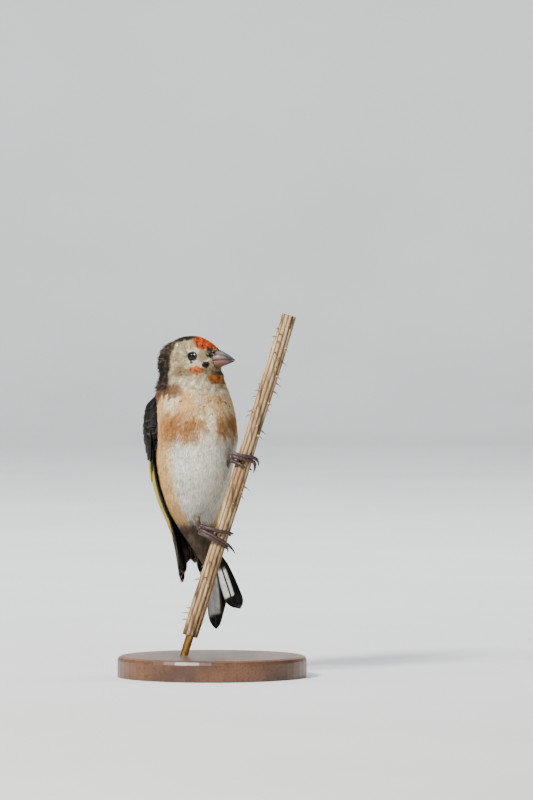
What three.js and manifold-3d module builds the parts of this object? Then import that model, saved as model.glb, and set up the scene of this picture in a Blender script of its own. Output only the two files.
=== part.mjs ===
// A life-size goldfinch that clings upright to a cut length of teasel stem, on a small turned stand.
// The bird faces the viewer, who looks along +Y. Its body is turned a little to its left, and its
// head further, over the stem. The tail hangs behind the stem. Lengths are millimetres.
import * as THREE from "three";
import { mergeVertices } from "three/addons/utils/BufferGeometryUtils.js";
import Module from "manifold-3d";

const wasm = await Module();
wasm.setup();

// The pose
const BODY_TURN = 21; // degrees that the breast is turned to the bird's left
const HEAD_TURN = 59; // degrees that the bill is turned the same way
const BODY_PLACE = [-6.3, 8]; // the middle of the body, across and away from the viewer
const LIFT = 3; // added to every height of the bird and the stem by the stand
const GAP = 0.3; // between two pieces that touch

// The body, from neck to vent: height, half width, front, back and sideways shift of the middle.
// x is towards the bird's left and y towards its back.
const BODY = [
  [119.5, 1.0, -2.0, 1.0, -1.6],
  [117.0, 7.6, -8.0, 7.4, -1.5],
  [113.5, 10.4, -10.6, 10.0, -1.4],
  [110.4, 11.6, -11.8, 11.0, -1.3],
  [106.4, 12.9, -13.2, 12.0, -1.1],
  [102.2, 14.3, -14.8, 13.4, -0.9],
  [96.5, 15.0, -16.9, 15.2, -0.3],
  [90.5, 15.3, -18.2, 16.2, -0.1],
  [84.3, 15.2, -18.6, 16.6, -0.3],
  [79.0, 14.6, -18.0, 16.6, -0.7],
  [73.0, 13.8, -16.3, 16.1, -0.9],
  [66.8, 12.4, -13.2, 15.2, -0.7],
  [61.5, 10.9, -9.8, 14.1, -0.1],
  [56.6, 8.8, -6.0, 12.8, 1.1],
  [52.0, 6.9, -2.4, 11.4, 2.6],
  [47.5, 5.4, 0.6, 10.0, 4.6],
  [43.0, 4.1, 2.2, 8.8, 6.4],
  [38.0, 0.8, 4.6, 5.8, 7.4],
];
const BODY_SIDES = 30;
const BODY_RINGS = 24;
const NECK_LOW = 104.2;
const NECK_HIGH = 109.2;
const VENT = 43.6; // where the under-tail feathers give way to the tail

// The head, from nape to forehead: distance forward, half width, top and bottom, about its own middle.
const HEAD_MIDDLE = [-8.0, 7.6, 116.5];
const HEAD = [
  [-11.4, 0.6, 0.6, -1.4],
  [-10.3, 4.4, 4.2, -5.2],
  [-8.2, 6.9, 6.8, -7.8],
  [-4.8, 8.7, 8.9, -9.4],
  [-1.0, 9.3, 9.7, -10.2],
  [2.6, 8.9, 9.6, -10.2],
  [5.6, 7.9, 8.7, -9.4],
  [8.2, 6.5, 7.3, -7.8],
  [10.4, 4.9, 5.8, -5.2],
  [11.8, 3.7, 4.6, -3.2],
  [13.0, 0.6, 1.6, 0.0],
];
const HEAD_SIDES = 24;
const HEAD_RINGS = 16;
const FACE_FRONT = 11.3; // where the head stops and the bill starts
const CHIN_PLACE = [0, -10.5, -5.5]; // the full feathers under the bill
const CHIN_REACH = [4.2, 3.2, 2.65];

// The bill: two half cones that meet along the line of the mouth.
const BILL_LENGTH = 8.2;
const BILL_HALF_WIDTH = 3.4;
const BILL_TOP = 4.5;
const BILL_BOTTOM = -2.4;
const BILL_TIP = 0.9;
const MOUTH = 0.9;
const BILL_STOUTNESS = 1.5; // 1 is a straight cone, and more bulges
const NOSTRIL_RADIUS = 0.42;
const NOSTRIL_PLACE = [2.2, 0.9, 2.9]; // sideways, forward of the face and up

const EYE_RADIUS = 1.95;
const EYE_PLACE = [6.75, -4.9, 2.3]; // sideways, back and up from the head's middle
const LID_RADIUS = 1.75;
const LID_THICKNESS = 0.34;
const LID_TURN = 14; // degrees that each ring of lids is turned towards the bill

// The stem leans in the plane that faces the viewer.
const STEM_LEAN = 17.2;
const STEM_FOOT = [-9.4, -6, 9.4]; // a point on its axis
const STEM_RADIUS = 2.85;
const STEM_FROM = 3.6; // along the axis from that point
const STEM_TO = 131;
const STEM_RIDGES = 10;
const RIDGE_HEIGHT = 0.3;
const PRICKLES = 30;
const PRICKLE_LENGTH = 2.6;

// The stand
const BASE_RADIUS = 36;
const BASE_HEIGHT = 8;
const ROD_RADIUS = 1.5;
const ROD_DEPTH = 8; // how far the rod goes up inside the stem

// Plain helpers

const radians = THREE.MathUtils.degToRad;

// A closed geometry as a solid that manifold-3d can cut and join, its faces turned outwards.
function solid(geometry) {
  const bare = geometry.index ? geometry.toNonIndexed() : geometry.clone();
  const merged = mergeVertices(
    new THREE.BufferGeometry().setAttribute("position", bare.getAttribute("position")),
    1e-4,
  );
  const index = new Uint32Array(merged.index.array);
  const make = () =>
    new wasm.Manifold(
      new wasm.Mesh({ numProp: 3, vertProperties: merged.attributes.position.array, triVerts: index }),
    );
  const made = make();
  if (made.volume() > 0) return made;
  for (let i = 0; i < index.length; i += 3) {
    [index[i + 1], index[i + 2]] = [index[i + 2], index[i + 1]];
  }
  return make();
}

// The largest closed surface of a solid, as a geometry, without the slivers that joining leaves.
const SLIVER = 0.02;

function geometryOf(piece) {
  const bodies = piece
    .simplify(SLIVER)
    .decompose()
    .sort((a, b) => b.volume() - a.volume());
  const mesh = bodies[0].getMesh();
  const geometry = new THREE.BufferGeometry();
  geometry.setAttribute("position", new THREE.BufferAttribute(mesh.vertProperties, 3));
  geometry.setIndex(new THREE.BufferAttribute(mesh.triVerts, 1));
  return geometry;
}

// The value in a column of a table at a place between its rows, on a smooth curve.
function along(table, column, place) {
  const rising = table[1][0] > table[0][0] ? 1 : -1;
  const last = table.length - 1;
  let row = 0;
  while (row < last - 1 && (place - table[row + 1][0]) * rising > 0) row += 1;
  const slope = (i) => {
    const low = Math.max(0, i - 1);
    const high = Math.min(last, i + 1);
    return (table[high][column] - table[low][column]) / (table[high][0] - table[low][0]);
  };
  const width = table[row + 1][0] - table[row][0];
  const t = THREE.MathUtils.clamp((place - table[row][0]) / width, 0, 1);
  const a = table[row][column];
  const b = table[row + 1][column];
  return (
    (2 * t ** 3 - 3 * t ** 2 + 1) * a +
    (t ** 3 - 2 * t ** 2 + t) * width * slope(row) +
    (3 * t ** 2 - 2 * t ** 3) * b +
    (t ** 3 - t ** 2) * width * slope(row + 1)
  );
}

// A sphere's grid laid over a form: pointAt gets the turn round it and the share of the way along.
// Each pole is the middle of its own small ring.
function rounded(sides, rings, pointAt) {
  const geometry = new THREE.SphereGeometry(1, sides, rings);
  const { position, uv } = geometry.attributes;
  for (let i = 0; i < position.count; i += 1) {
    const share = 1 - uv.getY(i);
    const atPole = share < 1e-6 || share > 1 - 1e-6;
    const turn = uv.getX(i) > 1 - 1e-6 ? 0 : uv.getX(i) * Math.PI * 2;
    const place = pointAt(atPole ? 0 : turn, share);
    const across = atPole ? pointAt(Math.PI, share) : place;
    position.setXYZ(i, ...place.map((value, axis) => (value + across[axis]) / 2));
  }
  return geometry;
}

const eased = (share) => (1 - Math.cos(share * Math.PI)) / 2;

// A tapered round limb along a curve, with flat ends.
function limb(curve, radiusAt, steps, sides) {
  const geometry = new THREE.CylinderGeometry(1, 1, 1, sides, steps);
  const frames = curve.computeFrenetFrames(steps, false);
  const { position } = geometry.attributes;
  const out = new THREE.Vector3();
  for (let i = 0; i < position.count; i += 1) {
    const share = 0.5 - position.getY(i);
    const ring = Math.round(share * steps);
    const radius = radiusAt(share);
    curve.getPointAt(share, out);
    out.addScaledVector(frames.normals[ring], position.getX(i) * radius);
    out.addScaledVector(frames.binormals[ring], position.getZ(i) * radius);
    position.setXYZ(i, out.x, out.y, out.z);
  }
  return geometry;
}

const vector = (place) => new THREE.Vector3(...place);

// Turns a solid about the upright axis and moves it.
const placed = (piece, turn, place) => piece.rotate([0, 0, turn]).translate(place);
const bodyPlaced = (piece) => placed(piece, BODY_TURN, [...BODY_PLACE, LIFT]);

// A point given in the bird's own frame, in the part's frame.
function inPart(place) {
  return vector(place)
    .applyAxisAngle(new THREE.Vector3(0, 0, 1), radians(BODY_TURN))
    .add(vector([...BODY_PLACE, LIFT]));
}

// Torso and neck

// A point on the body at a height, turned round from the breast, and pushed out by a margin.
function bodyPoint(turn, height, margin = 0) {
  const front = along(BODY, 2, height);
  const back = along(BODY, 3, height);
  const depth = (back - front) / 2 + margin;
  const width = along(BODY, 1, height) + margin;
  return [
    along(BODY, 4, height) + width * Math.sin(turn),
    (front + back) / 2 - depth * Math.cos(turn),
    height,
  ];
}

function bodyForm(margin) {
  const top = BODY[0][0] + margin;
  const bottom = BODY[BODY.length - 1][0] - margin;
  return solid(
    rounded(BODY_SIDES, BODY_RINGS, (turn, share) =>
      bodyPoint(turn, THREE.MathUtils.lerp(top, bottom, eased(share)), margin),
    ),
  );
}

const body = bodyPlaced(bodyForm(0));
const bodyClear = bodyPlaced(bodyForm(GAP + 0.1));

// Head

function headForm() {
  const from = HEAD[0][0];
  const to = HEAD[HEAD.length - 1][0];
  return solid(
    rounded(HEAD_SIDES, HEAD_RINGS, (turn, share) => {
      const forward = THREE.MathUtils.lerp(from, to, eased(share));
      const top = along(HEAD, 2, forward);
      const bottom = along(HEAD, 3, forward);
      return [
        along(HEAD, 1, forward) * Math.sin(turn),
        -forward,
        (top + bottom) / 2 + ((top - bottom) / 2) * Math.cos(turn),
      ];
    }),
  );
}

// The head's own frame: x to its left, y to its back.
const headPlaced = (piece) =>
  placed(piece, HEAD_TURN, [HEAD_MIDDLE[0], HEAD_MIDDLE[1], HEAD_MIDDLE[2] + LIFT]);

function eyeSolid(side, radius) {
  const [across, back, up] = EYE_PLACE;
  return solid(new THREE.SphereGeometry(radius, 14, 10)).translate([side * across, back, up]);
}

// The rim of the lids, a ring that lies on the face round the eye.
function lidSolid(side) {
  const [across, back, up] = EYE_PLACE;
  const ring = new THREE.TorusGeometry(LID_RADIUS, LID_THICKNESS, 5, 16);
  return solid(ring)
    .rotate([0, 90, 0])
    .rotate([0, 0, side * -LID_TURN])
    .translate([side * (across + 1.0), back - 0.3, up]);
}

// The upper or the lower half of the bill, a half cone with bulging sides and a flat back.
function billHalf(upper) {
  const cone = new THREE.CylinderGeometry(0, 1, 1, 18, 6);
  const { position } = cone.attributes;
  const depth = upper ? BILL_TOP - MOUTH : MOUTH - BILL_BOTTOM;
  for (let i = 0; i < position.count; i += 1) {
    const share = position.getY(i) + 0.5;
    const onAxis = Math.hypot(position.getX(i), position.getZ(i)) < 1e-6;
    const turn = Math.atan2(position.getX(i), position.getZ(i));
    const spread = onAxis ? 0 : 1 - share ** BILL_STOUTNESS;
    const middle = THREE.MathUtils.lerp(MOUTH, BILL_TIP, share);
    const forward = FACE_FRONT + GAP + share * BILL_LENGTH;
    position.setXYZ(
      i,
      Math.sin(turn) * spread * BILL_HALF_WIDTH,
      -forward,
      middle + Math.cos(turn) * spread * depth,
    );
  }
  const whole = solid(cone);
  if (upper) return whole.trimByPlane([0, 0, 1], MOUTH + GAP / 2);
  return whole.trimByPlane([0, 0, -1], -(MOUTH - GAP / 2));
}

function nostril(side) {
  const [across, forward, up] = NOSTRIL_PLACE;
  return solid(new THREE.SphereGeometry(NOSTRIL_RADIUS, 8, 6)).translate([
    side * across,
    -(FACE_FRONT + forward),
    up,
  ]);
}

const faceFront = [0, 1, 0];
const wholeHead = wasm.Manifold.union([
  headPlaced(headForm().trimByPlane(faceFront, -FACE_FRONT)),
  headPlaced(solid(new THREE.SphereGeometry(1, 14, 8)).scale(CHIN_REACH).translate(CHIN_PLACE)),
  body,
]);
const eyeHoles = [-1, 1].map((side) => headPlaced(eyeSolid(side, EYE_RADIUS + GAP)));
const lids = [-1, 1].map((side) => headPlaced(lidSolid(side)));
const neckLow = NECK_LOW + LIFT;
const neckHigh = NECK_HIGH + LIFT;
const vent = VENT + LIFT;
const billRoom = headPlaced(solid(new THREE.BoxGeometry(9, 14, 8)).translate([0, -FACE_FRONT - 7, 1.2]));

const head = wholeHead
  .trimByPlane([0, 0, 1], neckHigh + GAP / 2)
  .subtract(billRoom)
  .add(wasm.Manifold.union(lids))
  .subtract(wasm.Manifold.union(eyeHoles));
const neck = wholeHead
  .trimByPlane([0, 0, 1], neckLow + GAP / 2)
  .trimByPlane([0, 0, -1], -(neckHigh - GAP / 2));
const torso = wholeHead
  .trimByPlane([0, 0, -1], -(neckLow - GAP / 2))
  .trimByPlane([0, 0, 1], vent + GAP / 2);

const billUpper = headPlaced(billHalf(true).subtract(wasm.Manifold.union([nostril(-1), nostril(1)])));
const billLower = headPlaced(billHalf(false));

// Wings

// The surface that the folded wings lie on: the body's, carried on below it to the wing tips.
// Height, half width, middle and depth towards the back, sideways shift.
const WING_BED = [
  [103, 14.0, -0.5, 13.4, -0.9],
  [96.5, 15.0, -0.8, 16.0, -0.3],
  [90.5, 15.3, -1.0, 17.2, -0.1],
  [84.3, 15.2, -1.0, 17.6, -0.3],
  [79.0, 14.6, -0.7, 17.3, -0.7],
  [73.0, 13.8, -0.1, 16.2, -0.9],
  [66.8, 12.4, 1.0, 14.2, -0.7],
  [61.5, 10.8, 2.4, 12.0, -0.2],
  [56.0, 8.9, 4.2, 10.0, 0.9],
  [50.0, 7.4, 6.6, 7.2, 2.2],
  [44.0, 6.6, 8.9, 4.6, 3.3],
  [38.0, 5.9, 10.6, 3.2, 3.9],
  [30.0, 5.4, 11.6, 2.6, 4.4],
];

// A point over that surface, turned from the spine towards the wing's own side.
function wingPoint(side, turn, height, out) {
  const width = along(WING_BED, 1, height) + out;
  const depth = along(WING_BED, 3, height) + out;
  return [
    along(WING_BED, 4, height) + side * width * Math.sin(radians(turn)),
    along(WING_BED, 2, height) + depth * Math.cos(radians(turn)),
    height,
  ];
}

// A plate whose two faces are split alike: rows run along it and columns across.
function plate(rows, columns, pointAt) {
  const places = [];
  for (const face of [1, 0]) {
    for (let r = 0; r <= rows; r += 1) {
      for (let c = 0; c <= columns; c += 1) places.push(...pointAt(r / rows, c / columns, face));
    }
  }
  const at = (face, r, c) => (face === 1 ? 0 : (rows + 1) * (columns + 1)) + r * (columns + 1) + c;
  const index = [];
  const quad = (a, b, c, d) => index.push(a, b, c, a, c, d);
  for (let r = 0; r < rows; r += 1) {
    for (let c = 0; c < columns; c += 1) {
      quad(at(1, r, c), at(1, r, c + 1), at(1, r + 1, c + 1), at(1, r + 1, c));
      index.push(at(0, r, c), at(0, r + 1, c + 1), at(0, r, c + 1));
      index.push(at(0, r, c), at(0, r + 1, c), at(0, r + 1, c + 1));
    }
    quad(at(1, r, 0), at(1, r + 1, 0), at(0, r + 1, 0), at(0, r, 0));
    quad(at(0, r, columns), at(0, r + 1, columns), at(1, r + 1, columns), at(1, r, columns));
  }
  for (let c = 0; c < columns; c += 1) {
    quad(at(0, 0, c), at(0, 0, c + 1), at(1, 0, c + 1), at(1, 0, c));
    quad(at(1, rows, c), at(1, rows, c + 1), at(0, rows, c + 1), at(0, rows, c));
  }
  const geometry = new THREE.BufferGeometry();
  geometry.setAttribute("position", new THREE.Float32BufferAttribute(places, 3));
  geometry.setIndex(index);
  return geometry;
}

// The arm of the folded wing, which the feathers are rooted in: height, turn of its front and back
// edge from the spine, and thickness.
const WING_ARM = [
  [104.5, 66, 46, 1.2],
  [101, 76, 38, 2.8],
  [97, 80, 34, 3.3],
  [91, 82, 27, 3.7],
  [84.3, 81, 22, 3.0],
  [79, 78, 19, 1.8],
  [73, 75, 17, 0.9],
  [68, 71, 17, 0.5],
];
const ARM_TOP = 104;
const ARM_END = 68.5;
const ARM_OUT = 0.6; // its inner side, over the body
const SPINE_CLEAR = 3.2; // degrees from the spine that every feather keeps
const VANE = 0.5; // thickness
const VANE_TIP = 0.32;

// The tiers of the wing from the lowest up. Each goes from its outermost feather to its innermost:
// turn and height of the first and last root, then of the first and last tip, the feathers' width,
// and how far out the first and the last lie at the root and at the tip.
const WING_TIERS = [
  { count: 3, roots: [73, 78, 66, 74], tips: [60, 36, 40, 33], width: 4.6, out: [1.0, 1.1, 0.55, 0.75] },
  { count: 5, roots: [65, 74, 50, 72], tips: [30, 34.5, 9, 47], width: 5.0, out: [0.85, 1.1, 0.9, 1.6] },
  { count: 4, roots: [58, 78, 38, 80], tips: [30, 52, 15, 59], width: 6.4, out: [1.1, 1.5, 1.5, 2.3] },
  { count: 3, roots: [36, 84, 26, 86], tips: [22, 58, 17, 68], width: 6.8, out: [1.6, 2.3, 2.5, 2.9] },
  { count: 3, roots: [75, 84, 68, 84], tips: [71, 65, 65, 66], width: 4.2, out: [2.2, 2.4, 1.3, 1.8] },
  { count: 5, roots: [65, 87, 32, 88], tips: [60, 71, 28, 75], width: 6.8, out: [2.9, 2.5, 1.9, 3.0] },
  { count: 3, roots: [70, 93, 37, 93], tips: [67, 81, 35, 83], width: 9.4, out: [3.5, 3.3, 3.0, 3.6] },
  { count: 2, roots: [46, 99, 29, 98], tips: [39, 86, 22, 83], width: 9.0, out: [1.6, 2.2, 3.5, 4.2] },
];

// The share of its full width that a feather has, from a narrow root to a round tip.
function vaneWidth(share) {
  const root = Math.min(1, 0.6 + share * 0.8);
  const tip = share < 0.72 ? 1 : Math.sqrt(Math.max(0, 1 - ((share - 0.72) / 0.28) ** 2));
  return Math.max(0.14, root * tip);
}

// Rows of a feather stand closer towards its tip.
const towardsTip = (share) => 1 - (1 - share) ** 1.5;

function wingVane(side, feather) {
  return solid(
    plate(4, 2, (step, across, face) => {
      const share = towardsTip(step);
      const height = THREE.MathUtils.lerp(feather.root[1], feather.tip[1], share);
      const middle = THREE.MathUtils.lerp(feather.root[0], feather.tip[0], share);
      const away = (across - 0.5) * feather.width * vaneWidth(share);
      const radius = along(WING_BED, 1, height) + feather.out[1];
      const turn = Math.max(SPINE_CLEAR, middle + THREE.MathUtils.radToDeg(away / radius));
      const camber = across === 0.5 ? 0.16 : 0;
      const thick = THREE.MathUtils.lerp(VANE, VANE_TIP, share);
      const out = THREE.MathUtils.lerp(feather.out[0], feather.out[1], share) + camber + face * thick;
      return wingPoint(side, turn, height, out);
    }),
  );
}

function wingArm(side) {
  return solid(
    plate(7, 4, (share, across, face) => {
      const height = THREE.MathUtils.lerp(ARM_TOP, ARM_END, share);
      const turn = THREE.MathUtils.lerp(along(WING_ARM, 1, height), along(WING_ARM, 2, height), across);
      const rim = Math.sin(Math.PI * THREE.MathUtils.clamp(across, 0.07, 0.93)) ** 0.45;
      const thick = Math.max(0.4, along(WING_ARM, 3, height) * rim * Math.min(1, share * 7 + 0.3));
      return wingPoint(side, turn, height, ARM_OUT + face * thick);
    }),
  );
}

function wing(side) {
  const made = [wingArm(side)];
  for (const tier of WING_TIERS) {
    for (let i = 0; i < tier.count; i += 1) {
      const share = i / (tier.count - 1);
      const between = (list, at) => THREE.MathUtils.lerp(list[at], list[at + 2], share);
      made.push(
        wingVane(side, {
          root: [between(tier.roots, 0), between(tier.roots, 1)],
          tip: [between(tier.tips, 0), between(tier.tips, 1)],
          width: tier.width,
          out: [
            THREE.MathUtils.lerp(tier.out[0], tier.out[1], share),
            THREE.MathUtils.lerp(tier.out[2], tier.out[3], share),
          ],
        }),
      );
    }
  }
  return bodyPlaced(wasm.Manifold.union(made));
}

// Tail

// Two stacks of six feathers that part towards their tips, the outermost of each stack nearest the
// viewer. Root and tip in the bird's frame, and how the tips of the inner feathers fall short.
const TAIL_ROOT = [8.2, 6.0, VENT - GAP / 2];
const TAIL_STACKS = [
  { root: -0.8, outer: [9.6, 4.0, 14.0], inner: [12.4, 4.0, 20.5] },
  { root: 1.0, outer: [17.2, 5.0, 22.0], inner: [20.4, 5.0, 21.4] },
];
const TAIL_COUNT = 6;
const TAIL_WIDTH = 5.6;
const TAIL_STEP = 0.36;

function tailVane(stack, number) {
  const inward = number / (TAIL_COUNT - 1);
  const tip = vector(stack.outer).lerp(vector(stack.inner), inward);
  const root = vector(TAIL_ROOT).add(vector([stack.root * (1 + 0.5 * inward), 0, 0]));
  const level = (number - (TAIL_COUNT - 1) / 2) * TAIL_STEP;
  const lie = tip.clone().sub(root).setY(0).normalize();
  const across = vector([lie.z, 0, -lie.x]);
  return solid(
    plate(4, 2, (step, side, face) => {
      const share = towardsTip(step);
      const place = root.clone().lerp(tip, share);
      place.addScaledVector(across, (side - 0.5) * TAIL_WIDTH * vaneWidth(share));
      const camber = side === 0.5 ? 0.12 : 0;
      const thick = THREE.MathUtils.lerp(VANE, VANE_TIP, share);
      return [place.x, place.y + level + camber + (face - 0.5) * thick, Math.min(place.z, TAIL_ROOT[2])];
    }),
  );
}

// The rump that the tail's feathers are rooted in, as wide as the body where that ends.
function tailRoot() {
  return solid(
    rounded(16, 8, (turn, share) => {
      const height = THREE.MathUtils.lerp(VENT + 2, VENT - 8, share);
      const size = Math.sin(Math.PI * share) ** 0.5;
      return [
        TAIL_ROOT[0] - 1.4 + (VENT - height) * 0.3 + 3.8 * size * Math.sin(turn),
        TAIL_ROOT[1] - 2.4 * size * Math.cos(turn),
        height,
      ];
    }),
  ).trimByPlane([0, 0, -1], -TAIL_ROOT[2]);
}

function tail() {
  const made = [tailRoot()];
  for (const stack of TAIL_STACKS) {
    for (let number = 0; number < TAIL_COUNT; number += 1) made.push(tailVane(stack, number));
  }
  return bodyPlaced(wasm.Manifold.union(made));
}

// Stem and its prickles

const lean = radians(STEM_LEAN);
const stemUp = vector([Math.sin(lean), 0, Math.cos(lean)]);
const stemLeft = vector([-Math.cos(lean), 0, Math.sin(lean)]);
const stemFront = vector([0, -1, 0]);
const stemFoot = vector([STEM_FOOT[0], STEM_FOOT[1], STEM_FOOT[2] + LIFT]);

// A point by its distance along the stem, its turn from the left over the front, and its radius.
function stemPoint(distance, turn, radius) {
  return stemFoot
    .clone()
    .addScaledVector(stemUp, distance)
    .addScaledVector(stemLeft, radius * Math.cos(radians(turn)))
    .addScaledVector(stemFront, radius * Math.sin(radians(turn)));
}

function stemForm() {
  const form = new THREE.CylinderGeometry(1, 1, 1, STEM_RIDGES * 2, 9);
  const { position } = form.attributes;
  for (let i = 0; i < position.count; i += 1) {
    const share = position.getY(i) + 0.5;
    const turn = THREE.MathUtils.radToDeg(Math.atan2(position.getZ(i), position.getX(i)));
    const onAxis = Math.hypot(position.getX(i), position.getZ(i)) < 0.5;
    const step = Math.round(turn / (180 / STEM_RIDGES));
    const ridge = step % 2 === 0 ? RIDGE_HEIGHT : 0;
    const swell = 0.12 * Math.sin(share * 17) - 0.1 * share;
    const radius = onAxis ? 0 : STEM_RADIUS - RIDGE_HEIGHT / 2 + ridge + swell;
    const place = stemPoint(THREE.MathUtils.lerp(STEM_FROM, STEM_TO, share), turn, radius);
    position.setXYZ(i, place.x, place.y, place.z);
  }
  return solid(form);
}

// A source of repeatable chance.
function chances(seed) {
  let state = seed;
  return () => {
    state = (state * 1664525 + 1013904223) % 4294967296;
    return state / 4294967296;
  };
}

const FEET_ON_STEM = [
  [35, 49],
  [66, 80],
];

function prickles() {
  const chance = chances(11);
  const made = [];
  for (let i = 0; i < PRICKLES; i += 1) {
    const distance = THREE.MathUtils.lerp(STEM_FROM + 4, STEM_TO - 3, (i + chance() * 0.8) / PRICKLES);
    const turn = Math.round(chance() * STEM_RIDGES) * (360 / STEM_RIDGES);
    const length = PRICKLE_LENGTH * (0.55 + 0.6 * chance());
    const underFoot = FEET_ON_STEM.some(([from, to]) => distance > from - 2 && distance < to + 2);
    const behind = Math.sin(radians(turn)) < 0.3 && Math.cos(radians(turn)) > -0.4;
    const facesBird = distance > 28 && distance < 90 && behind;
    if (underFoot || facesBird) continue;
    const root = stemPoint(distance + 0.6, turn, STEM_RADIUS - 0.9);
    const bend = stemPoint(distance + 0.3, turn, STEM_RADIUS + length * 0.5);
    const tip = stemPoint(distance - 0.8, turn, STEM_RADIUS + length);
    const curve = new THREE.QuadraticBezierCurve3(root, bend, tip);
    made.push(solid(limb(curve, (share) => 0.75 * (1 - share) ** 0.8 + 0.09, 2, 4)));
  }
  return made;
}

// The bore that the rod sits in, and the rod, which is cut level where it stands on the base.
const rodFrom = -6;
const rodCurve = (from, to) => new THREE.LineCurve3(stemPoint(from, 0, 0), stemPoint(to, 0, 0));
const rodBore = solid(limb(rodCurve(rodFrom, STEM_FROM + ROD_DEPTH + GAP), () => ROD_RADIUS + GAP, 1, 20));
const rod = solid(limb(rodCurve(rodFrom, STEM_FROM + ROD_DEPTH), () => ROD_RADIUS, 1, 20)).trimByPlane(
  [0, 0, 1],
  BASE_HEIGHT + GAP,
);
const stem = wasm.Manifold.union([stemForm(), ...prickles()]).subtract(rodBore);

// Legs and feet

// Where each foot's toes part, beside the stem: distance along it, turn and distance from its axis.
// Each toe leaves there by start and crosses by end, both along the stem, and its claw's tip is at
// that turn, dropped along the stem and reaching away from it.
const FEET = {
  right: {
    joint: [43.8, 8, 8.4],
    heel: [-1.5, -4.0, 58],
    toes: [
      { name: "inner", start: 0.9, end: 2.0, claw: 208, drop: 0.6, reach: 0.2 },
      { name: "middle", start: -0.4, end: -3.2, claw: 172, drop: 2.2, reach: 3.4 },
      { name: "outer", start: -1.4, end: -5.0, claw: 200, drop: 0.8, reach: 0.3 },
      { name: "hind", start: 0.3, end: 0.6, claw: -164, drop: 0, reach: 0 },
    ],
  },
  left: {
    joint: [73.0, 30, 5.8],
    heel: [9.3, -6.3, 74],
    toes: [
      { name: "inner", start: 0.6, end: 1.2, claw: 196, drop: 4.6, reach: 0.9 },
      { name: "middle", start: 1.6, end: 2.9, claw: 186, drop: 3.2, reach: 1.9 },
      { name: "outer", start: -1.0, end: -1.8, claw: 112, drop: 0.8, reach: 0.1 },
      { name: "hind", start: -0.6, end: -2.6, claw: -172, drop: 0, reach: 0 },
    ],
  },
};
const TOE_RADIUS = 0.75;
const TOE_SHARE = 0.74; // of the whole curve of a toe and its claw
const CLAW_SHARE = 0.765;
const CLAW_RADIUS = 0.54;
const KNUCKLE_RADIUS = 1.35;
const TARSUS_RADIUS = 0.85;
const TOE_CLEAR = STEM_RADIUS + 0.15 + GAP + TOE_RADIUS;

// The curve of a toe: from the joint in to the stem, then round it, with the claw at its end.
const TOE_STEPS = [0, 0.12, 0.28, 0.46, 0.64, 0.76, 0.88, 1];

function toeCurve(foot, toe, shareFrom, shareTo) {
  const [distance, turn, radius] = foot.joint;
  const whole = new THREE.CatmullRomCurve3(
    TOE_STEPS.map((share) => {
      const closing = THREE.MathUtils.clamp(share / 0.42, 0, 1);
      const hook = THREE.MathUtils.clamp((share - 0.64) / 0.36, 0, 1);
      return stemPoint(
        distance + THREE.MathUtils.lerp(toe.start, toe.end, share) - toe.drop * hook ** 2,
        THREE.MathUtils.lerp(turn, toe.claw, share),
        THREE.MathUtils.lerp(radius, TOE_CLEAR, Math.sin((closing * Math.PI) / 2)) + toe.reach * hook,
      );
    }),
  );
  const count = 9;
  const places = [];
  for (let i = 0; i <= count; i += 1) {
    places.push(whole.getPointAt(THREE.MathUtils.lerp(shareFrom, shareTo, i / count)));
  }
  return new THREE.CatmullRomCurve3(places);
}

function footSolids(side) {
  const foot = FEET[side];
  const joint = stemPoint(...foot.joint);
  const toeRadius = (share) => TOE_RADIUS * (1.1 - 0.3 * share);
  const toeForm = (toe, margin) =>
    solid(limb(toeCurve(foot, toe, 0, TOE_SHARE), (share) => toeRadius(share) + margin, 7, 6));
  const knuckleForm = (margin) =>
    solid(new THREE.SphereGeometry(KNUCKLE_RADIUS + margin, 12, 8)).translate(joint.toArray());
  const claws = foot.toes.map((toe) =>
    solid(limb(toeCurve(foot, toe, CLAW_SHARE, 1), (share) => CLAW_RADIUS * (1 - share) ** 0.7 + 0.08, 6, 6)),
  );
  const heel = inPart(foot.heel);
  const shank = new THREE.LineCurve3(heel, joint);
  const clear = wasm.Manifold.union([knuckleForm(GAP), ...foot.toes.map((toe) => toeForm(toe, GAP))]);
  const leg = solid(limb(shank, (share) => TARSUS_RADIUS * (1.25 - 0.25 * share), 4, 10))
    .subtract(bodyClear)
    .subtract(clear);
  const toes = wasm.Manifold.union([knuckleForm(0), ...foot.toes.map((toe) => toeForm(toe, 0))]);
  return { leg, toes, claws };
}

// Materials and the scene graph

const material = (color, roughness, metalness = 0) =>
  new THREE.MeshStandardMaterial({ color, roughness, metalness });
const FINISH = {
  belly: material("#cdbfa6", 0.9),
  crown: material("#c9bda8", 0.9),
  wing: material("#1a1817", 0.6),
  horn: material("#b39a90", 0.45),
  eye: material("#0b0807", 0.08),
  skin: material("#5a4440", 0.6),
  claw: material("#2a2322", 0.4),
  stem: material("#b8925c", 0.8),
  wood: material("#4a2f1f", 0.4),
  brass: material("#b08d4a", 0.3, 1),
};

const goldfinch = new THREE.Group();
function addPiece(name, piece, finish) {
  const mesh = new THREE.Mesh(geometryOf(piece), finish);
  mesh.name = name;
  goldfinch.add(mesh);
}

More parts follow.
